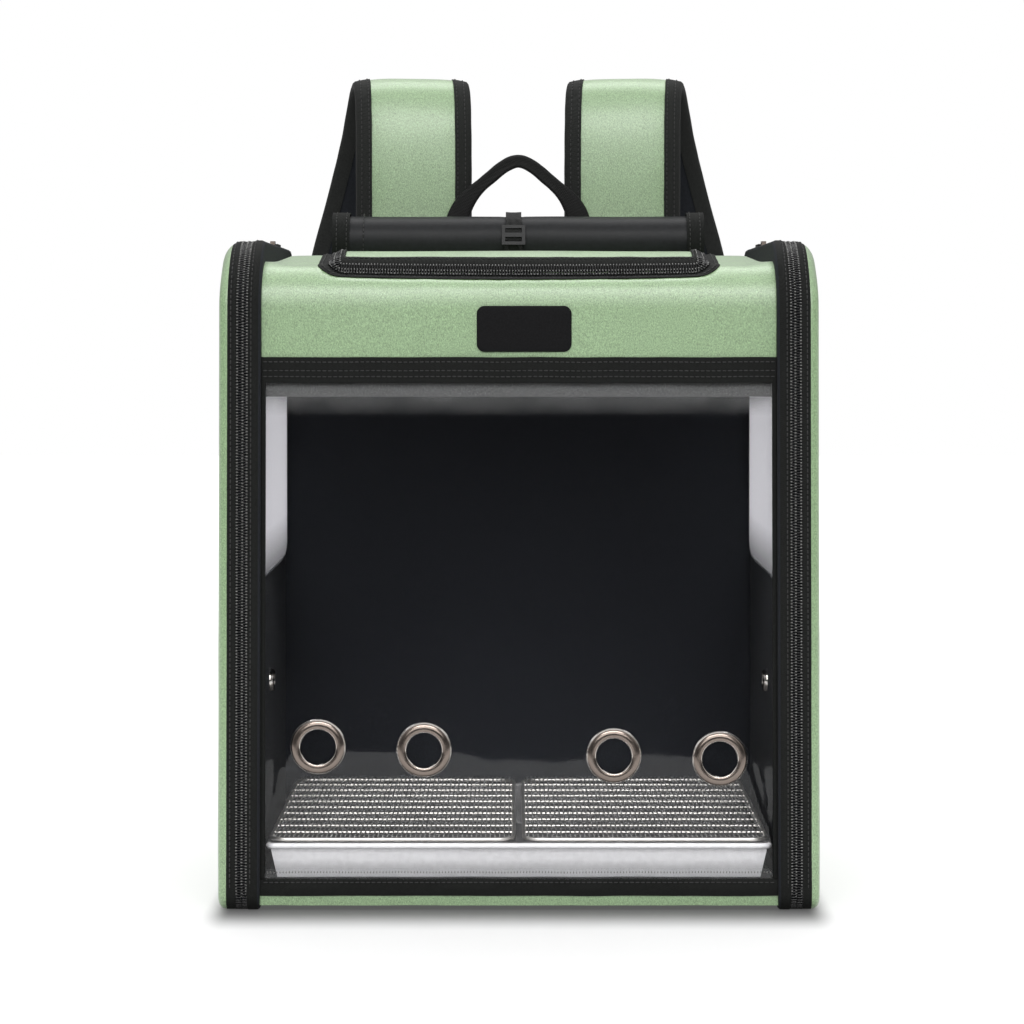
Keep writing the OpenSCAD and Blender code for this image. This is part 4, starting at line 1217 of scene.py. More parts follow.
@dataclass
class SideFrame:
    """Padded frame that a side door closes on, with its half of the zip."""

    side: Side
    depth: float = 13.0
    puff: float = 0.5

    def build(self, repeats: Repeats) -> None:
        """Builds the frame and its teeth."""
        s, name = self.side.sign, self.side.value

        def low(inset: float) -> Inset:
            """Inset with the fabric's slight waves, never below the floor."""
            return lambda y, z: max(inset - 0.2 * ripple(y, z, s * 4, 26), 0.0 if z < 15 else -2)

        section = [
            (BAG.x_in, 2.0), (BAG.x_in + 0.3, 0.8), (BAG.x_in + 1.2, 0.1), (BAG.x_in + 2.6, -self.puff),
            (BAG.x_frame - 2.4, -self.puff), (BAG.x_frame - 0.4, -0.2), (BAG.x_frame + 0.3, 0.4),
            (BAG.x_frame + 0.5, 2.6), (BAG.x_frame + 0.5, 5.0), (BAG.x_split - 0.6, 5.0),
            (BAG.x_split - 0.3, 5.6), (BAG.x_split - 0.3, self.depth - 0.4), (BAG.x_split - 1.2, self.depth),
            (BAG.x_in, self.depth),
        ]
        rows = [BAG.soft_ring(self.side, x, low(inset) if inset < 2 else inset) for x, inset in section]
        skin = Skin(f"{name}_padded_frame")
        skin.rings(rows, [1, 1, 0, 0, 0, 0, 0, 1, 1, 1, 1, 1, 1, 1], round_trip=True)
        made = skin.piece([TAPE, LINING], "bag", [f"{name}_side_frame"], sharp=60)
        zipper = SideZip(self.side)
        coil = zipper.path(BAG.x_frame + 1.75, 0.9, TOOTH_PITCH / 2)
        repeats.coil(f"{name}_frame_teeth", "bag", coil, f"{name}_frame_coil")
        # Painted highlights on the coil's turns and along its middle.
        dots = [zipper.path(BAG.x_frame + 0.7, 0.1), zipper.path(BAG.x_split - 0.35, 0.05, 0.4)]
        repeats.dots(f"{name}_frame_coil_stitches", "bag", dots)
        repeats.sew(f"{name}_frame_stitches", "bag", [zipper.path(BAG.x_frame - 1.6, -0.5)])


# Top of the bag


@dataclass
class TopShape:
    """Rounded sheet over the front and the top; places on it are x and the length u up and back along it."""

    door_half: float = 107.0
    zip_u: float = 57.7
    hinge_u: float = 202.8
    end_u: float = 286.1
    rise_u: float = 30.0

    def profile(self, u: float, off: float) -> tuple[float, float]:
        """Y and z of a length u along the profile, off millimetres outside it."""
        r = BAG.top_radius
        bend = r * math.pi / 2
        if u < self.rise_u:
            return BAG.y_window - off, BAG.band_z + u
        if u < self.rise_u + bend:
            a = (u - self.rise_u) / r
            return BAG.y_window + r - (r + off) * math.cos(a), BAG.z_top - r + (r + off) * math.sin(a)
        return BAG.y_window + r + u - self.rise_u - bend, BAG.z_top + off

    def crown(self, x: float, u: float) -> float:
        """How far the padded fabric stands above the plain profile."""
        inside = 1 - ramp(abs(x), 101, 114)
        lip = -4.6 * hump((u - 55) / 10.5) + 6.4 * ramp(u, 56, 87) * (1 - 0.35 * ramp(u, 95, 145))
        lid = lip * (1 - ramp(u, 168, 205))
        fold = ramp(abs(x), 104, 114) * (1 - ramp(abs(x), 134, 147))
        wing = 4.6 * ramp(u, 78, 118) * (1 - ramp(u, 235, 284)) - 2.2 * hump((u - 68) / 15)
        return inside * lid + fold * wing

    def place(self, x: float, u: float, off: float = 0.0) -> Vector:
        """Place on the crowned sheet, off millimetres outside it."""
        e = min(1.0, abs(x) / self.door_half)
        lifted = u + (2.6 * e * e - 1.0) * hump((u - self.zip_u) / 36)
        y, z = self.profile(lifted, off + self.crown(x, u))
        return at(x, y, z)

    def out(self, x: float, u: float) -> Vector:
        """Way out of the sheet at a place on it."""
        a, b = self.place(x + 1, u) - self.place(x - 1, u), self.place(x, u + 1) - self.place(x, u - 1)
        return a.cross(b).normalized()

    def puckers(self, x: float, u: float) -> float:
        """Small waves along the zip and the seams."""
        near = max(
            hump((u - self.zip_u) / 30) * (abs(x) < 125), hump((abs(x) - BAG.x_in) / 14),
            hump((abs(x) - self.door_half) / 22) * (u > 50),
        )
        return 0.35 * ripple(x, u, 3, 60) + 0.45 * near * ripple(x, u * 0.4, 1, 11)

    def door_path(self, offset: float, u_end: float, corner: float = 3.0) -> list[tuple[float, float]]:
        """U-shaped line round the door at a distance outside its split line, from the right side to the left."""
        narrow = offset if offset > -3.5 else -3.5 + (offset + 3.5) * 0.35
        half, front = self.door_half + narrow, self.zip_u - offset
        r = max(1.5, corner + offset)
        right = [(half, u) for u in spread(u_end, front + r, 40)]
        bend = [
            (half - r + r * math.cos(a), front + r - r * math.sin(a))
            for a in (math.pi / 2 * k / 8 for k in range(1, 8))
        ]
        middle = [(x, front) for x in spread(half - r, 0, 40)]
        one = right + bend + middle
        return one + [(-x, u) for x, u in reversed(one[:-1])]


TOP = TopShape()


@dataclass
class TopPanel:
    """Green band, shoulder and top, the tape under it, the blank patch and the frame half of the top zip."""

    thickness: float = 4.0
    tape: tuple[float, float] = (0.5, 9.8)
    tape_end: float = 219.5

    def build(self, repeats: Repeats) -> None:
        """Builds every piece."""
        self.sheet()
        self.header(repeats)
        self.patch()
        self.zip_half(repeats, "top_frame", "bag", *self.tape, self.tape_end, 0.0)

    def sheet(self) -> None:
        """Padded sheet with the door's opening."""
        xs = lines((-BAG.x_in, 0), (-TOP.door_half, 10), (TOP.door_half, 60), (BAG.x_in, 10))
        us = lines((0, 0), (TOP.zip_u, 20), (TOP.hinge_u, 34), (TOP.end_u, 16))

        def skip(i: int, j: int) -> bool:
            """Cells of the door's opening."""
            x, u = (xs[j] + xs[j + 1]) / 2, (us[i] + us[i + 1]) / 2
            return abs(x) < TOP.door_half and TOP.zip_u < u < TOP.hinge_u

        outer = [[TOP.place(x, u, TOP.puckers(x, u)) for x in xs] for u in us]
        inner = [[TOP.place(x, u, -self.thickness) for x in xs] for u in us]
        skin = Skin("green_top_sheet")
        skin.slab(outer, inner, (0, 1), skip)
        made = skin.piece([GREEN, LINING], "bag", ["top_panel"])

    def header(self, repeats: Repeats) -> None:
        """Black tape under the green band, with its rows of stitches."""
        xs, zs = spread(-BAG.x_in, BAG.x_in, 90), lines((BAG.header_z - 1.4, 0), (BAG.band_z + 0.4, 6))

        def wave(x: float) -> float:
            """How far the tape strays up there."""
            return 0.3 * ripple(x, 5, 1, 25)

        outer = [[at(x, BAG.y_window - 0.9 - 0.25 * ripple(x, z, 2, 17), z + wave(x)) for x in xs] for z in zs]
        inner = [[at(x, BAG.y_window + 3.0, z) for x in xs] for z in zs]
        skin = Skin("window_header")
        skin.slab(outer, inner)
        skin.piece([TAPE], "bag", ["header_tape"])
        paths = [
            [(at(x, BAG.y_window - 1.1, z + wave(x)), OUT_FRONT) for x in spread(-146, 146, 80)]
            for z in (BAG.header_z + 2.2, BAG.header_z + 5.6, BAG.band_z - 2.4)
        ]
        repeats.sew("header_stitches", "bag", paths)

    def patch(self) -> None:
        """Plain dark patch with rounded corners."""
        w, h, r, x0, z0 = 54.5, 26.5, 4.5, 3.0, 335.65
        skin = Skin("plain_patch")

        def loop(inset: float, y: float) -> Row:
            """Rounded rectangle at a depth."""
            shape = Outline(-w / 2, w / 2, -h / 2, h / 2, (r, r, r, r), arc=8, span=6)
            return [at(x0 + a - inset * na, y, z0 + b - inset * nb) for a, b, na, nb in shape.points()]

        y = BAG.y_window
        skin.rings([loop(0, y + 0.3), loop(0, y - 0.9), loop(0.35, y - 1.3), loop(1.0, y - 1.45), loop(3.0, y - 1.5)])
        skin.piece([RUBBER], "bag", ["blank_patch"])

    def zip_half(
        self, repeats: Repeats, name: str, body: str, near: float, far: float, u_end: float, late: float
    ) -> None:
        """Tape, teeth and stitches of one half of the top zip.

        Args:
            repeats: What sets the teeth.
            name: Start of the pieces' names; the nodes replaced have the same start.
            body: Body that they ride on.
            near: Distance of the tape's inner edge outside the split line; below 0 is inside.
            far: Distance of its outer edge.
            u_end: Where it ends behind.
            late: Length by which the teeth start late.
        """
        steps = 5
        rows = [TOP.door_path(near + (far - near) * k / steps, u_end) for k in range(steps + 1)]
        across = list(zip(*rows))
        lift = 0.7
        outer = [
            [TOP.place(x, u, lift + 0.25 * ripple(x, u, 8, 14) * (k > 0)) for k, (x, u) in enumerate(line)]
            for line in across
        ]
        inner = [[TOP.place(x, u, -0.2) for x, u in line] for line in across]
        skin = Skin(f"{name}_zip_tape")
        skin.slab(outer, inner)
        skin.piece([TAPE], body, [f"{name}_tape"])
        way = 1 if far > near else -1

        def path(offset: float, off: float, start: float = 0.0) -> Seam:
            """Line on the sheet with the way out."""
            line = TOP.door_path(offset, u_end - start)
            return [(TOP.place(x, u, off), TOP.out(x, u)) for x, u in line]

        repeats.coil(f"{name}_teeth", body, path(way * 1.75, 1.4, late), f"{name}_coil")
        # Painted highlights on the coil's turns.
        dots = [path(way * 3.0, 1.7)] + ([path(0.3, 2.0)] if way > 0 else [])
        repeats.dots(f"{name}_coil_stitches", body, dots)
        repeats.sew(f"{name}_tape_stitches", body, [path(far - way * 2.2, 0.9)])


@dataclass
class TopDoor:
    """Padded lid with its half of the zip and its sewn hinge."""

    thickness: float = 4.0
    slit: float = 0.5
    tape: tuple[float, float] = (-0.5, -10.2)
    hinge_half: float = 93.0
    hinge_band: tuple[float, float] = (191.8, 201.8)

    def build(self, repeats: Repeats, panel: TopPanel) -> None:
        """Builds every piece."""
        half = TOP.door_half - self.slit
        xs = lines((-half, 0), (half, 60))
        us = lines((TOP.zip_u + self.slit, 0), (TOP.hinge_u - 0.3, 40))
        outer = [[TOP.place(x, u, TOP.puckers(x, u)) for x in xs] for u in us]
        inner = [[TOP.place(x, u, -self.thickness) for x in xs] for u in us]
        skin = Skin("green_lid")
        skin.slab(outer, inner, (0, 1))
        made = skin.piece([GREEN, LINING], "top_door", ["top_door_panel"])
        panel.zip_half(repeats, "top_door", "top_door", *self.tape, TOP.hinge_u - self.slit, TOOTH_PITCH / 2)
        xs = spread(-self.hinge_half, self.hinge_half, 60)
        us = spread(*self.hinge_band, 4)
        strip = Skin("lid_hinge_strip")
        strip.slab(
            [[TOP.place(x, u, 0.8 + 0.2 * ripple(x, u, 2, 12)) for x in xs] for u in us],
            [[TOP.place(x, u, -0.2) for x in xs] for u in us],
        )
        strip.piece([TAPE], "top_door", ["top_hinge_tape"])
        paths = [[(TOP.place(x, u, 1.0), TOP.out(x, u)) for x in spread(-92, 92, 50)] for u in (193.4, 200.2)]
        repeats.sew("lid_hinge_stitches", "top_door", paths)


# Front window


@dataclass
class FrontWindow:
    """Clear film with its eyelets, hem, strip, side bindings and sill."""

    eyelets: tuple[tuple[float, float], ...] = ((-115.8, 94.8), (-54.7, 92.95), (54.7, 89.65), (115.8, 87.8))
    creases: tuple[tuple[float, float, float, float], ...] = (
        (-141, 62, 0.10, 0.8), (-136, 70, 0.02, 0.6), (139, 58, -0.30, 1.0), (143, 52, -0.12, 0.8),
        (133, 50, -0.5, 0.6),
    )
    bore: float = 10.0
    flange: float = 16.0
    hole: float = 13.0
    film_y: float = -123.2
    strip_z: tuple[float, float] = (296.5, 304.6)
    strip_half: float = 145.6

    def build(self, repeats: Repeats) -> None:
        """Builds every piece."""
        self.film()
        self.hem(repeats)
        self.rims()
        self.edges(repeats)

    def bow(self, x: float, z: float) -> float:
        """How far the film stands towards the front, in millimetres: its slack, ripples and creases."""
        up = (z - BAG.sill_z) / (BAG.header_z - BAG.sill_z)
        slack = 0.5 * math.sin(math.pi * up) * (1 - (x / BAG.x_in) ** 2)
        waves = 0.16 * ripple(x, z, 1, 55) + 0.05 * ripple(x, z, 6, 24)
        pull = sum(0.75 * hump(math.hypot(x - cx, z - cz) / 36) for cx, cz in self.eyelets)
        folds = sum(
            high * hump((x - cx - lean * (z - cz)) / 2.6) * hump((z - cz) / 34) for cx, cz, lean, high in self.creases
        )
        return slack + waves + pull + folds

    def film(self) -> None:
        """Clear film with a hole behind each eyelet."""
        xs = lines((-147.6, 0), (-128, 18), (128, 100), (147.6, 18))
        zs = lines(
            (BAG.sill_z - 4, 0), (BAG.sill_z, 1), (110, 42), (286, 50), (BAG.header_z, 12), (BAG.header_z + 4, 1)
        )

        def skip(i: int, j: int) -> bool:
            """Cells inside a hole."""
            x, z = (xs[j] + xs[j + 1]) / 2, (zs[i] + zs[i + 1]) / 2
            return any(math.hypot(x - cx, z - cz) < self.hole for cx, cz in self.eyelets)

        def sheet(y: float) -> list[Row]:
            """One face of the film."""
            return [[at(x, self.film_y + y - self.bow(x, z), z) for x in xs] for z in zs]

        skin = Skin("window_film")
        skin.slab(sheet(0), sheet(0.5), skip=skip)
        skin.piece([FILM], "bag", ["window_panel"])

    def hem(self, repeats: Repeats) -> None:
        """Folded lower edge of the film with its pale stitches, the strip at its top, and a grey band of painted
        reflection under the strip.
        """
        xs, zs = spread(-146, 146, 80), spread(BAG.sill_z - 1, 24.2, 5)

        def wave(x: float) -> float:
            """How far the hem strays up there."""
            return 0.3 * ripple(x, 1, 2, 20)

        skin = Skin("film_hem")
        skin.slab(
            [[at(x, self.film_y - 1.5 - 0.3 * ripple(x, z, 3, 18), z + wave(x)) for x in xs] for z in zs],
            [[at(x, self.film_y - 0.9, z + wave(x)) for x in xs] for z in zs],
        )
        skin.piece([FILM], "bag")
        path = [(at(x, self.film_y - 1.7, 22.3 + wave(x)), OUT_FRONT) for x in spread(-145, 145, 80)]
        repeats.dots("hem_stitches", "bag", [path])
        low, half = self.strip_z[0], self.strip_half
        wide = spread(-half, half, 40)
        # The second band is a painted reflection that fades downwards under the strip.
        for name, finish, depths, xs, zs, nodes in (
            ("smoked_strip", STRIP, (-121.9, -120.9), wide, spread(*self.strip_z, 4), ["window_strip"]),
            ("smoked_strip_edge", PAINTED_REFLECTION, (-122.1, -121.9), (-half, 0, half), (low - 10.9, low - 5.5, low - 0.1), []),
        ):
            strip = Skin(name)
            strip.slab(*([[at(x, y, z) for x in xs] for z in zs] for y in depths))
            strip.piece([finish], "bag", nodes)

    def rims(self) -> None:
        """Domed eyelets with their barrels, and the washers behind them."""
        r, f = self.bore, self.flange
        dome = [(r, -0.6), (r + 0.2, -1.3), (r + 0.7, -1.8), (r + 1.4, -2.0), (r + 2.4, -2.05), (r + 3.4, -1.95)]
        dome += [(r + 4.4, -1.6), (r + 5.2, -1.0), (f - 0.3, -0.4), (f, 0.1), (f - 0.4, 0.25), (f - 1.4, 0.0)]
        dome += [(r + 1.0, -0.4), (r + 1.0, 2.2), (r, 2.2)]
        washer = [(r + 1.05, 0.7), (f - 1, 0.7), (f - 1, 1.3), (f - 2.2, 1.9), (r + 1.8, 1.9), (r + 1.05, 1.5)]
        for name, node, profile in (
            ("window_rims", "window_eyelets", dome), ("window_washers", "eyelet_washers", washer),
        ):
            skin = Skin(name)
            for x, z in self.eyelets:
                y = self.film_y - self.bow(x, z) - 0.35
                # The dome's edge rows take the bright copy of the nickel: painted highlights.
                bright = (0, 1, 7, 8) if name == "window_rims" else ()
                slots = [int(k in bright) for k in range(len(profile))]
                skin.rings(turned(at(x, y, z), Vector((0, 1, 0)), profile, 72), slots, round_trip=True)
            skin.piece([NICKEL_PAINTED_DARK, NICKEL_PAINTED_HIGHLIGHT], "bag", [node], sharp=60)

    def edges(self, repeats: Repeats) -> None:
        """Bindings at both sides and the sill with its stitches."""
        binding = Skin("window_side_tapes")
        for s in (-1, 1):
            zs = spread(BAG.sill_z, BAG.header_z, 60)
            columns = (145.2, self.strip_half, 147.0, BAG.x_in)

            def edge(x: float, z: float, depth: float, s: int = s) -> Vector:
                """Place of the binding at a depth in front of the window."""
                return at(s * (x + BAG.drift(z)), BAG.y_window - depth, z)

            binding.slab(
                [
                    [
                        edge(x, z, 0.9 + 0.5 * (k in (1, 2)) + 0.2 * ripple(s * 3, z, 1, 18))
                        for k, x in enumerate(columns)
                    ]
                    for z in zs
                ],
                [[edge(x, z, -0.9) for x in columns] for z in zs],
            )
        binding.piece([TAPE], "bag", ["window_bindings"])
        sill = Skin("window_sill_tape")
        xs = spread(-149.6, 149.6, 80)
        section = (
            (-124.3, 8.4), (-125.6, 8.9), (-125.9, 12.5), (-125.4, 17.8), (-124.2, 18.9), (-119.8, 18.9), (-119.4, 11.0)
        )
        sill.rings([
            [at(x, y - 0.2 * ripple(x, z, 3, 20) * (y < -124), z + 0.25 * ripple(x, z, 7, 30)) for y, z in section]
            for x in xs
        ])
        sill.piece([TAPE], "bag", ["front_sill"])
        path = [(at(x, -125.8, 16.6), OUT_FRONT) for x in spread(-146, 146, 60)]
        repeats.sew("sill_stitches", "bag", [path])


# Shade, handle and straps


def smooth_path(points: Sequence[Vector], steps: int) -> Row:
    """Curve through points, with steps places for each stretch; lengths as given."""
    n = len(points) - 1
    out = []
    for i in range(n):
        a, b, c, d = points[max(i - 1, 0)], points[i], points[i + 1], points[min(i + 2, n)]
        for k in range(steps):
            t = k / steps
            square, cube = 2 * a - 5 * b + 4 * c - d, 3 * b - a - 3 * c + d
            out.append(0.5 * (2 * b + (c - a) * t + square * t * t + cube * t ** 3))
    return [*out, points[n]]


def rails(path: Sequence[Vector], side: Vector) -> list[tuple[Vector, Vector, Vector]]:
    """Each place of a path with the way across it, nearest to side, and the way out of it."""
    out = []
    for i, p in enumerate(path):
        t = (path[min(i + 1, len(path) - 1)] - path[max(i - 1, 0)]).normalized()
        u = (side - side.dot(t) * t).normalized()
        out.append((p, u, t.cross(u)))
    return out


def flat(p: Vector) -> Vector:
    """A place given in millimetres in the bag's frame, in metres."""
    return at(p.x, p.y, p.z)


@dataclass
class RolledShade:
    """Shade rolled up behind the top, with its end bindings, tie and buckle."""

    half: float = 119.0
    radius: float = 16.3
    y: float = 92.0
    z: float = 393.6
    cloth: float = 1.5
    turns: int = 4
    start: float = 4.0

    def build(self, repeats: Repeats) -> None:
        """Builds every piece."""
        self.roll(repeats)
        self.tie()

    def dent(self, x: float, angle: float) -> float:
        """Waves of the cloth and the waist that the tie draws in."""
        return 0.35 * ripple(x, angle * 0.5, 4, 45) - 0.5 * hump((x + 3) / 9)

    def edge(self, x: float, angle: float, grow: float = 0.0) -> Vector:
        """Place on the roll's outside at an angle in degrees, in metres."""
        r, a = self.radius + grow + self.dent(x, angle), math.radians(angle)
        return at(x, self.y + r * math.cos(a), self.z + r * math.sin(a))

    def ring(self, x: float, angles: Sequence[float], grow: float) -> Seam:
        """Places on the roll's outside with the way out."""
        return [
            (self.edge(x, a, grow), Vector((0, math.cos(math.radians(a)), math.sin(math.radians(a))))) for a in angles
        ]

    def roll(self, repeats: Repeats) -> None:
        """Spiral of cloth with its flat end, and a binding at each end."""
        n = 96
        rows = []
        for x in spread(-self.half, self.half, 70):
            outer, inner = [], []
            for k in range(n + 1):
                t = k / n
                a = -90 + 360 * self.turns * (t - 1)
                r = self.start + (self.radius - self.start) * t + self.dent(x, a % 360) * t
                c, s = math.cos(math.radians(a)), math.sin(math.radians(a))
                outer.append(at(x, self.y + r * c, self.z + r * s))
                inner.append(at(x, self.y + (r - self.cloth) * c, self.z + (r - self.cloth) * s))
            rows.append(outer + list(reversed(inner)))
        skin = Skin("rolled_shade")
        skin.rings(rows)
        ys = spread(self.y - 1, 120.4, 10)
        xs = spread(-self.half, self.half, 40)
        foot = self.z - self.radius
        low = [[at(x, y, foot + (375.6 - foot) * ramp(y, self.y, 112)) for x in xs] for y in ys]
        skin.slab([[p + Vector((0, 0, 0.0012)) for p in row] for row in low], low)
        made = skin.piece([SHADE], "bag", ["shade_roll"])
        bindings = Skin("shade_end_tapes")
        for s in (-1, 1):
            xs = [s * v for v in spread(self.half - 10.5, self.half + 0.6, 5)]
            bindings.slab(
                [[self.edge(x, a, 0.8 + 0.2 * ripple(x, a, 3, 14)) for a in spread(-80, 262, 60)] for x in xs],
                [[self.edge(x, a, 0.1) for a in spread(-80, 262, 60)] for x in xs],
            )
        bindings.piece([TAPE], "bag", ["shade_end_bindings"])
        seams = (-self.half + 2.2, -self.half + 8.6, self.half - 2.2, self.half - 8.6)
        paths = [self.ring(x, spread(-70, 255, 60), 1.0) for x in seams]
        paths.append(self.ring(-99.5, spread(60, 262, 40), 0.15))
        repeats.sew("shade_stitches", "bag", paths)

    def tie(self) -> None:
        """Webbing round the roll, its buckle and two thin tails."""
        skin = Skin("shade_tie_webbing")
        xs = spread(-8, 2, 4)
        skin.slab(
            [[self.edge(x, a, 1.7) for a in spread(-75, 255, 70)] for x in xs],
            [[self.edge(x, a, 0.3) for a in spread(-75, 255, 70)] for x in xs],
        )
        for x0, sway in ((-7.0, -2.4), (1.0, 2.2)):
            path = [
                Vector((x0 + sway * t, self.y - self.radius - 2.6 + 2.6 * t, self.z - 3 - 12 * t))
                for t in spread(0, 1, 8)
            ]
            rows = []
            for p, u, v in rails(path, Vector((1, 0, 0))):
                rows.append([flat(p + u * a * 1.2 + v * b * 0.45) for a, b in ((-1, -1), (1, -1), (1, 1), (-1, 1))])
            skin.rings(rows)
        skin.piece([WEB], "bag", ["shade_tie"])


@dataclass
class CarryHandle:
    """Webbing handle, flat at its feet and folded to a narrow grip."""

    depth: float = 5.0

    def build(self) -> None:
        """Builds the handle."""
        y, z = BAG.y_back - 5, BAG.height
        points = [Vector(p) for p in (
            (-46, y, 379.3), (-38, y, z + 26), (-21, y, z + 46), (0, y, z + 59), (21, y, z + 46), (38, y, z + 26),
            (46, y, 379.3),
        )]
        path = [Vector((-46, y, 375.3)), *smooth_path(points, 12), Vector((46, y, 375.3))]
        n = len(path) - 1
        rows = []
        for i, (p, u, v) in enumerate(rails(path, Vector((0, 1, 0)))):
            grip = ramp(abs(2 * i / n - 1), 0.35, 0.72)
            w, t = self.depth - 1.5 * grip, 8.6 + 6.0 * grip
            groove = 0.7 * (1 - grip)
            section = []
            for a in turns(24):
                c, s = math.cos(a), math.sin(a)
                across = math.copysign(abs(c) ** 0.45, c) * w / 2
                along = math.copysign(abs(s) ** 0.45, s) * t / 2
                across -= math.copysign(groove * hump(along / (t * 0.28)), c)
                wave = 0.25 * ripple(i * 3.0, across * 3, along * 3, 9) * (1 - grip * 0.5)
                section.append(flat(p + u * (across + wave * 0.3) + v * (along + wave)))
            rows.append(section)
        skin = Skin("webbing_handle")
        skin.rings(rows)
        skin.piece([WEB], "handle", ["carry_handle"], sharp=70)


@dataclass
class ShoulderStrap:
    """Padded strap with bound edges, its webbing, lock and anchor tab."""

    side: Side
    width: float = 75.0
    thickness: float = 11.0
    binding: float = 9.6
    edge: float = 4.4
    lock: tuple[float, float, float] = (118.0, 167.0, 129.0)
    lock_lean: float = 12.0
    tab_x: tuple[float, float] = (108.5, 147.0)
    tab_z: tuple[float, float] = (12.0, 52.0)
    tab_seam: float = 3.0

    def points(self) -> Row:
        """Centre line of the padded part, in millimetres, on the right side."""
        x, y, h, top, back = 69.0, 135.8, 387.0, 497.5, 200.5
        return [Vector(p) for p in (
            (x, y, h - 42), (x, y, h + 20), (x, y + 1, h + 72), (x + 1, y + 10, top - 8), (x + 3, y + 26, top),
            (x + 7, y + 42, top - 10), (x + 14, y + 52, h + 66), (x + 24, back - 5, h + 28), (x + 37, back, h - 22),
            (x + 44, back - 3, h - 90), (x + 46, back - 14, h - 165), (x + 48, back - 30, h - 240),
        )]

    def build(self, repeats: Repeats) -> None:
        """Builds every piece."""
        self.rail = rails(smooth_path(self.points(), 10), Vector((1, 0, 0)))
        self.pad()
        self.bound_edges(repeats)
        self.webbing(repeats)

    def mirror(self, p: Vector) -> Vector:
        """A place on the right side, in millimetres, taken to this side in metres."""
        return at(self.side.sign * p.x, p.y, p.z)

    def widths(self, i: int) -> tuple[float, float]:
        """Width and thickness at a place of the path."""
        t = i / (len(self.rail) - 1)
        taper = max(0.0, (t - 0.86) / 0.14)
        start = 1 - 0.45 * (1 - ramp(t, 0.0, 0.05))
        return self.width - (self.width - 40) * taper, (self.thickness - 3 * taper) * start

    def surface(self, i: int, share: float, face: int, grow: float = 0.0) -> Vector:
        """Place on the strap's face.

        Args:
            i: Number of the place along the path.
            share: Place across, from -1 to 1.
            face: -1 for the green face, 1 for the lined one.
            grow: Distance outside the surface.

        Returns:
            The place in millimetres, on the right side.
        """
        p, u, v = self.rail[i]
        w, t = self.widths(i)
        full = self.edge + (t - self.edge) * (1 - abs(share) ** 3.2) if t > self.edge else t
        crease = 0.35 * ripple(i * 5.0, share * 40, face * 9, 30)
        return p + u * share * (w / 2 - 0.6) + v * face * (full / 2 + grow + crease)

    def pad(self) -> None:
        """Padded body: green outside, lined inside."""
        shares = spread(-1, 1, 17)
        rows = []
        for i in range(len(self.rail)):
            rows.append(
                [self.mirror(self.surface(i, s, -1)) for s in shares]
                + [self.mirror(self.surface(i, s, 1)) for s in reversed(shares)]
            )
        skin = Skin(f"{self.side.value}_padded_strap")
        ids = [skin.add(row) for row in rows]
        n = len(ids[0])
        for a, b in zip(ids, ids[1:]):
            for k in range(n):
                skin.face((a[k], a[(k + 1) % n], b[(k + 1) % n], b[k]), 0 if k < len(shares) - 1 else 1)
        skin.face(ids[0])
        skin.face(reversed(ids[-1]))
        made = skin.piece([GREEN, LINING], "bag", [f"{self.side.value}_shoulder_strap"], sharp=75)

    def bound_edges(self, repeats: Repeats) -> None:
        """Black binding folded over both edges, with two rows of stitches."""
        skin = Skin(f"{self.side.value}_strap_binding")
        paths: list[Seam] = []
        for edge in (-1, 1):
            rows = []
            for i, (p, u, v) in enumerate(self.rail):
                w, _ = self.widths(i)
                inner = 1 - 2 * self.binding / w
                shares = spread(inner, 1, 5)
                green = [self.surface(i, edge * s, -1, 0.75) for s in shares]
                lined = [self.surface(i, edge * s, 1, 0.75) for s in reversed(shares)]
                tip = p + u * edge * (w / 2 + 0.5)
                inside = [self.surface(i, edge * s, 1, -1.0) for s in shares[:-1]]
                inside += [self.surface(i, edge * s, -1, -1.0) for s in reversed(shares[:-1])]
                wave = 0.2 * ripple(i * 4.0, edge * 9, 2, 12)
                loop = [*green, tip - v * 1.6, tip + u * edge * 0.35, tip + v * 1.6, *lined, *inside]
                rows.append([self.mirror(q + u * edge * wave) for q in loop])
            skin.rings(rows)
            for back in (1.8, 6.8):
                line = []
                for i, (_, _, v) in enumerate(self.rail):
                    w, _ = self.widths(i)
                    share = edge * (1 - 2 * (self.binding - back) / w)
                    q = self.surface(i, share, -1, 0.95)
                    line.append((self.mirror(q), Vector((-v.x * self.side.sign, -v.y, -v.z))))
                paths.append(line)
        # The bindings take the lighter copy of the tape: painted light.
        skin.piece([TAPE_PAINTED_LIGHTER], "bag", sharp=70)
        repeats.sew(f"{self.side.value}_strap_stitches", "bag", paths)

    def webbing(self, repeats: Repeats) -> None:
        """Adjusting webbing through the lock, the loop sewn to the strap and the tab at the corner."""
        lock, lean = Vector(self.lock), math.radians(self.lock_lean)

        def local(points: Sequence[tuple[float, float]]) -> Row:
            """Places given across the lock's thickness and up it."""
            return [
                lock + Vector((0, a * math.cos(lean) + b * math.sin(lean), -a * math.sin(lean) + b * math.cos(lean)))
                for a, b in points
            ]

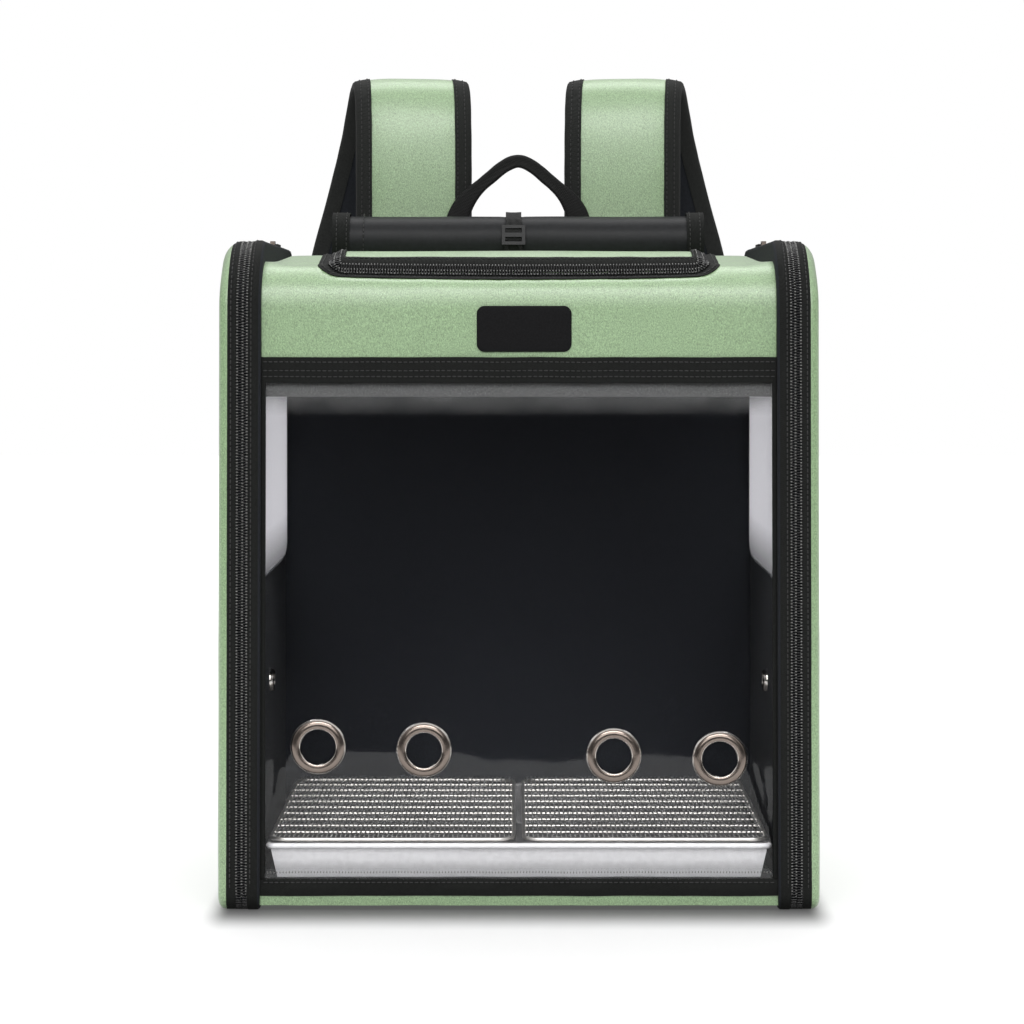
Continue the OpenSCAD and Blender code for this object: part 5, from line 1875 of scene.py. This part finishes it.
        half = [(-12.5, 0), (-12.1, -0.7), (-6, -0.75), (0, -0.75), (6, -0.75), (12.1, -0.7)]
        a = 3.05
        low = [Vector((124, 132.55, 30)), Vector((123, 135, 52)), Vector((120, 140, 78))]
        led = local([
            (-a, -24), (-a, -13), (-a, -3), (-a, 3.2), (-2.3, 4.7), (0, 5.1), (2.3, 4.7), (a, 3.2), (a, -3),
            (a, -14), (a + 1, -30), (a + 2, -52), (a + 1, -78),
        ])
        loop = local([(-a, 17.6), (-a, 12), (-a, 9.4), (-2.2, 8.2), (0, 7.8), (2.2, 8.2), (a, 9.4), (a, 12), (a, 17.6)])
        skin = Skin(f"{self.side.value}_adjusting_webbing")
        for points in ([*low, *led], loop):
            rows = []
            for p, u, v in rails(smooth_path(points, 5), Vector((1, 0, 0))):
                ring = []
                for c, d in [*half, *((-c, -d) for c, d in half)]:
                    ring.append(self.mirror(p + u * c + v * d))
                rows.append(ring)
            skin.rings(rows)
        skin.piece([WEB], "bag", [f"{self.side.value}_strap_webbing"], sharp=60)
        tab = Skin(f"{self.side.value}_corner_tab")
        xs, zs = spread(*self.tab_x, 14), spread(*self.tab_z, 14)
        tab.slab(
            [[self.mirror(Vector((x, BAG.y_back + 1.6 + 0.2 * ripple(x, z, 1, 9), z))) for x in xs] for z in zs],
            [[self.mirror(Vector((x, BAG.y_back - 0.1, z))) for x in xs] for z in zs],
        )
        tab.piece([TAPE], "bag", [f"{self.side.value}_anchor_tab"])
        x0, x1 = self.tab_x[0] + self.tab_seam, self.tab_x[1] - self.tab_seam
        z0, z1 = self.tab_z[0] + self.tab_seam, self.tab_z[1] - self.tab_seam
        square = [(x0, z0), (x1, z0), (x1, z1), (x0, z1), (x0, z0)]
        paths = [
            [(self.mirror(Vector((x, BAG.y_back + 1.9, z))), OUT_BACK) for x, z in run]
            for run in (square, [(x0, z0), (x1, z1)], [(x1, z0), (x0, z1)])
        ]
        repeats.sew(f"{self.side.value}_tab_stitches", "bag", paths, 3.2)
        lock_finishes = bpy.data.objects[f"{self.side.value}_ladder_lock"].data.materials
        lock_finishes.clear()
        lock_finishes.append(HARD.material())


# Back, floor, tray and zip sliders


@dataclass
class BackPanel:
    """Back board with its piping and the two channelled pads, and the base."""

    half: float = 150.5
    board_z: tuple[float, float] = (4.2, 375.0)
    pad_heights: tuple[float, ...] = (48.0, 182.0)
    pad_height: float = 110.0
    pad_half: float = 88.0
    seam_end: float = 12.0

    def build(self, repeats: Repeats) -> None:
        """Builds every piece."""
        self.board()
        self.pads(repeats)
        self.base()

    def board(self) -> None:
        """Fabric-covered board, crowned a little towards the wearer."""
        xs, zs = spread(-self.half, self.half, 40), spread(*self.board_z, 44)

        def bow(x: float, z: float) -> float:
            """Crown of the outer face."""
            return 0.8 * (1 - (x / 148) ** 6) * (1 - ((z - 190) / 186) ** 6) + 0.25 * ripple(x, z, 5, 40) - 0.8

        skin = Skin("back_board")
        skin.slab(
            [[at(x, BAG.y_back + bow(x, z), z) for x in xs] for z in zs],
            [[at(x, BAG.y_cabin_back, z) for x in xs] for z in zs],
        )
        made = skin.piece([LINING], "bag", ["back_panel"])
        outline = Outline(-146, 146, 7, 372.5, (10, 10, 10, 10), arc=8, span=20)
        piping = Skin("back_piping")
        rows = []
        for a, b, na, nb in outline.points():
            rows.append([
                at(a + 1.4 * math.cos(t) * na, BAG.y_back + 0.3 + 1.4 * math.sin(t), b + 1.4 * math.cos(t) * nb)
                for t in turns(8)
            ])
        piping.rings(rows, 0, round_trip=True)
        piping.piece([TAPE], "bag")

    def pads(self, repeats: Repeats) -> None:
        """Two pads of air mesh, filled until they swell between their sewn channels."""
        skin = Skin("channelled_pads")
        sewn: set[tuple[float, float, float]] = set()
        seams = [self.pad_half * k for k in (-0.5, 0.0, 0.5)]
        paths = []
        for z0 in self.pad_heights:
            xs, zs = spread(-self.pad_half, self.pad_half, 65), spread(z0, z0 + self.pad_height, 41)
            low = [[at(x, BAG.y_back + 0.1, z) for x in xs] for z in zs]
            high = [[at(x, BAG.y_back + self.start_rise(x, z, z0), z) for x in xs] for z in zs]
            skin.slab(high, low)
            for i, z in enumerate(zs):
                for j, x in enumerate(xs):
                    on_seam = min(abs(x - seam) for seam in seams) < 1.5 and self.channelled(z - z0)
                    on_edge = i in (0, len(zs) - 1) or j in (0, len(xs) - 1)
                    if on_seam or on_edge:
                        sewn.add(tuple(round(c, 6) for c in high[i][j]))
                    sewn.add(tuple(round(c, 6) for c in low[i][j]))
            for seam in seams:
                line = spread(z0 + self.seam_end + 1, z0 + self.pad_height - self.seam_end - 1, 24)
                paths.append([(at(seam, BAG.y_back + 2.2, z), OUT_BACK) for z in line])
        made = skin.piece([MESH], "bag", ["back_padding"], sharp=75)
        pins = [v.index for v in made.data.vertices if tuple(round(c, 6) for c in v.co) in sewn]
        swell(made, pins, cap=5.0)
        repeats.sew("pad_channel_stitches", "bag", paths, 3.4)
        piping = Skin("pad_edging")
        for z0 in self.pad_heights:
            shape = Outline(-self.pad_half - 1, self.pad_half + 1, z0 - 1, z0 + self.pad_height + 1, (6, 6, 6, 6))
            line = [at(a, BAG.y_back + 0.9, b) for a, b, _, _ in shape.points()]
            rows = []
            for k, p in enumerate(line):
                way = (line[(k + 1) % len(line)] - (line[k - 1] if k else line[0])).normalized()
                side = way.cross(OUT_BACK)
                rows.append([
                    p + (side * math.cos(a) * 1.6 + OUT_BACK * (math.sin(a) * 1.3 - 0.1)) * MM for a in turns(8)
                ])
            piping.rings(rows, 0, round_trip=True)
        piping.piece([TAPE], "bag")

    def channelled(self, rise: float) -> bool:
        """Whether the sewn channels reach this height above a pad's lower edge."""
        return self.seam_end < rise < self.pad_height - self.seam_end

    def start_rise(self, x: float, z: float, z0: float) -> float:
        """Height of a pad's face before it swells."""
        edge = min(self.pad_half - abs(x), z - z0, z0 + self.pad_height - z)
        seam = min(abs(x - self.pad_half * k) for k in (-0.5, 0.0, 0.5))
        inside = self.channelled(z - z0)
        dome = 0.5 + 2.6 * (1 - (1 - min(1.0, edge / 9)) ** 2)
        return dome - (dome - 1.4) * (1 - min(1.0, seam / 6)) ** 2 * inside

    def base(self) -> None:
        """Stiff base whose front edge is the green strip under the window."""
        xs, ys = spread(-self.half, self.half, 60), spread(BAG.y_window, BAG.y_cabin_back, 30)
        skin = Skin("green_base")
        skin.slab(
            [
                [at(x, y - 0.9 * (k == 0), BAG.base_z - 0.9 * (k == 0) + 0.3 * abs(ripple(x, y, 3, 40))) for x in xs]
                for k, y in enumerate(ys)
            ],
            [[at(x, y - 0.9 * (k == 0), BAG.floor_z + 0.4 * (k == 0)) for x in xs] for k, y in enumerate(ys)],
            (0, 1),
        )
        made = skin.piece([GREEN, LINING], "bag", ["base_panel"])


@dataclass
class Grate:
    """Removable floor grate: rounded rod frame, cross rods and a fine woven wire mesh on them."""

    side: Side
    x0: float = 3.1
    x1: float = 144.1
    y0: float = -115.1
    y1: float = 111.6
    z: float = 39.7
    rod: float = 1.25
    corner: float = 9.0
    ribs: int = 9
    wire: float = 0.4
    crimp: float = 0.5
    pitch: float = 2.7

    def build(self, repeats: Repeats) -> None:
        """Builds the frame with its cross rods, and the mesh."""
        body, name = f"{self.side.value}_grate_body", self.side.value
        middle, half = (self.x0 + self.x1) / 2, (self.x1 - self.x0) / 2
        cy, depth = (self.y0 + self.y1) / 2, (self.y1 - self.y0) / 2
        r = self.corner
        shape = Outline(-half, half, -depth, depth, (r, r, r, r), arc=6, span=8)
        skin = Skin(f"{name}_grate_frame")
        skin.rings([
            [
                at(
                    self.side.sign * (middle + a + self.rod * math.cos(t) * na), cy + b + self.rod * math.cos(t) * nb,
                    self.z + self.rod * math.sin(t),
                )
                for t in turns(10)
            ]
            for a, b, na, nb in shape.points()
        ], 0, round_trip=True)
        for k in range(1, self.ribs + 1):
            y = self.y0 + (self.y1 - self.y0) * k / (self.ribs + 1)
            skin.rings([
                [at(self.side.sign * x, y + 1.1 * math.cos(t), self.z + 0.2 + 1.1 * math.sin(t)) for t in turns(10)]
                for x in (self.x0, self.x1)
            ])
        skin.piece([WIRE], body, [f"{name}_grate"], sharp=60)
        top = self.z + 1.3
        up = Vector((0, 0, 1))
        path = [(at(self.side.sign * (x + shift), cy, top), up) for x, shift in ((self.x0, 2.6), (self.x1, -2.6))]
        repeats.along(f"{name}_grate_wires", body, [path], self.wire_shape(repeats), self.pitch, STEEL, jitter=0.0)

    def wire_shape(self, repeats: Repeats) -> Thing:
        """One crimped wire from front to back that rises over each rib."""
        half, cells = (self.y1 - self.y0) / 2, self.ribs + 1
        places = spread(-half, half, 6 * cells + 1)
        line = [(y, self.crimp * math.cos(2 * math.pi * cells * (y / (2 * half) + 0.5))) for y in places]
        return repeats.bar("grate_wire", line, self.wire)


class Fitting(Enum):
    """Nodes that stay as the solids give them, with their finish."""

    TRAY = ("tray", SHEET_STEEL_PAINTED_SHADE)
    BUCKLE = ("tie_buckle", HARD)
    LEFT_SLIDER = ("left_zip_slider", NICKEL_PAINTED_DARK)
    RIGHT_SLIDER = ("right_zip_slider", NICKEL_PAINTED_DARK)
    TOP_SLIDER = ("top_zip_slider", NICKEL_PAINTED_DARK)
    LEFT_PULL = ("left_zip_pull", HARD)
    RIGHT_PULL = ("right_zip_pull", HARD)
    TOP_PULL = ("top_zip_pull", HARD)

    def dress(self) -> None:
        """Gives the node its finish."""
        name, finish = self.value
        node = bpy.data.objects[name]
        node.data.materials.clear()
        node.data.materials.append(finish.material())
        LOG.info("%s: kept as it is", name)


# Studio


@dataclass
class Studio:
    """Pale floor, soft lights and the camera."""

    camera_x: float = -4.0
    camera_y: float = -1830.0
    camera_z: float = 335.0
    lens: float = 104.3
    shift: float = -0.12
    floor_front: float = -704.0
    painted_contact_shadow: float = 0.18
    painted_shadow_width: float = 0.06
    photo_side: int = 1024
    horizon: float = 330.0

    def build(self) -> None:
        """Builds floor, lights, world and camera."""
        bpy.context.scene.view_settings.view_transform = "Standard"
        self.floor()
        self.world()
        self.light("key", (0.0, -1.7, 1.62), (0.0, -0.05, 0.3), (1.7, 0.6), 24)
        self.light("top", (0.0, 0.45, 2.0), (0.0, -0.05, 0.2), (1.6, 1.0), 13)
        self.light("fill", (0.0, -2.6, 1.0), (0.0, 0.0, 0.2), (2.2, 0.9), 18)
        self.light("left", (-1.7, -0.5, 1.1), (0.0, 0.0, 0.2), (0.9, 1.4), 1.2)
        self.light("right", (1.7, -0.5, 1.1), (0.0, 0.0, 0.2), (0.9, 1.4), 1.2)
        self.camera()

    def floor(self) -> None:
        """Pale floor that ends a little way in front of the bag, with painted light: a painted contact shadow round the
        bag's footprint and a painted glow that grows further back.
        """
        mesh = bpy.data.meshes.new("studio_floor")
        y0, y1 = (self.floor_front + BAG_SHIFT) * MM, 6.0
        mesh.from_pydata([(-5, y0, 0), (5, y0, 0), (5, y1, 0), (-5, y1, 0)], [], [(0, 1, 2, 3)])
        made = show("studio_floor", mesh)
        finish = bpy.data.materials.new("floor_painted_light")
        finish.use_nodes = True
        tree = finish.node_tree
        shader = tree.nodes["Principled BSDF"]
        shader.inputs["Roughness"].default_value = 0.6
        where = put(tree, "ShaderNodeSeparateXYZ", {0: put(tree, "ShaderNodeTexCoord").outputs["Object"]}).outputs
        away = []
        for axis, middle, half, stretch in (("X", 0.0, 0.166, 3.5), ("Y", BAG_SHIFT * MM, 0.126, 1.0)):
            offset = maths(tree, "ABSOLUTE", maths(tree, "SUBTRACT", where[axis], middle))
            past = maths(tree, "MAXIMUM", maths(tree, "SUBTRACT", offset, half), 0.0)
            away.append(maths(tree, "MULTIPLY", past, stretch))
        gap = put(tree, "ShaderNodeVectorMath", {
            0: put(tree, "ShaderNodeCombineXYZ", {0: away[0], 1: away[1]}).outputs[0],
        }, operation="LENGTH").outputs["Value"]
        # Painted contact shadow: colour and glow drop near the bag's footprint.
        near = spanned(tree, gap, 0.0, self.painted_shadow_width, self.painted_contact_shadow, 1.0, interpolation_type="SMOOTHSTEP")
        # Painted glow: the floor glows more further back.
        far = spanned(tree, where["Y"], -0.2, 1.2, 0.50, 1.0)
        tree.links.new(maths(tree, "MULTIPLY", near, 0.45), shader.inputs["Base Color"])
        tree.links.new(maths(tree, "MULTIPLY", near, far), shader.inputs["Emission Color"])
        shader.inputs["Emission Strength"].default_value = 1.0
        mesh.materials.append(finish)

    def world(self) -> None:
        """White for the camera; a soft room, dark in front, for light and gloss."""
        world = bpy.data.worlds.new("studio")
        bpy.context.scene.world = world
        world.use_nodes = True
        tree = world.node_tree
        tree.nodes.clear()
        out = put(tree, "ShaderNodeOutputWorld")
        where = put(tree, "ShaderNodeSeparateXYZ", {0: put(tree, "ShaderNodeTexCoord").outputs["Generated"]}).outputs
        front = spanned(tree, where["Y"], -0.9, 0.2, 0.03, 0.40)
        above = spanned(tree, where["Z"], 0.25, 0.85, 0.0, 0.6)
        room = maths(tree, "ADD", front, above)
        soft = put(tree, "ShaderNodeBackground", {"Color": (1, 1, 1, 1), "Strength": room})
        white = put(tree, "ShaderNodeBackground", {"Color": (1, 1, 1, 1), "Strength": 1.0})
        mixed = put(tree, "ShaderNodeMixShader", {
            0: put(tree, "ShaderNodeLightPath").outputs["Is Camera Ray"], 1: soft.outputs[0], 2: white.outputs[0],
        })
        tree.links.new(mixed.outputs[0], out.inputs["Surface"])

    def light(
        self, name: str, place: Sequence[float], aim: Sequence[float], size: tuple[float, float], power: float
    ) -> None:
        """A rectangular soft light."""
        data = bpy.data.lights.new(name, "AREA")
        data.shape = "RECTANGLE"
        data.size, data.size_y = size
        data.energy = power
        made = show(name, data)
        made.location = place
        made.rotation_euler = (Vector(aim) - Vector(place)).to_track_quat("-Z", "Y").to_euler()

    def camera(self) -> None:
        """Camera at the photograph's place; half of the drop is a shift, the rest a slight tilt."""
        data = bpy.data.cameras.new("camera")
        data.lens, data.sensor_width, data.shift_y = self.lens, 36.0, self.shift
        focal = self.lens / data.sensor_width * self.photo_side
        tilt = math.atan((self.photo_side / 2 + self.shift * self.photo_side - self.horizon) / focal)
        made = show("camera", data)
        made.location = at(self.camera_x, self.camera_y, self.camera_z)
        made.rotation_euler = (math.pi / 2 - tilt, 0, 0)
        data.clip_start, data.clip_end = 0.05, 50
        bpy.context.scene.camera = made


def main() -> None:
    """Builds the carrier's looks in order."""
    logging.basicConfig(level=logging.INFO, format="%(name)s %(message)s")
    Studio().build()
    repeats = Repeats()
    for side in Side:
        SideFrame(side).build(repeats)
        SideDoor(side).build(repeats)
        ShoulderStrap(side).build(repeats)
        Grate(side).build(repeats)
    panel = TopPanel()
    panel.build(repeats)
    TopDoor().build(repeats, panel)
    FrontWindow().build(repeats)
    RolledShade().build(repeats)
    CarryHandle().build()
    BackPanel().build(repeats)
    for fitting in Fitting:
        fitting.dress()
    repeats.clear()


if __name__ == "__main__":
    main()
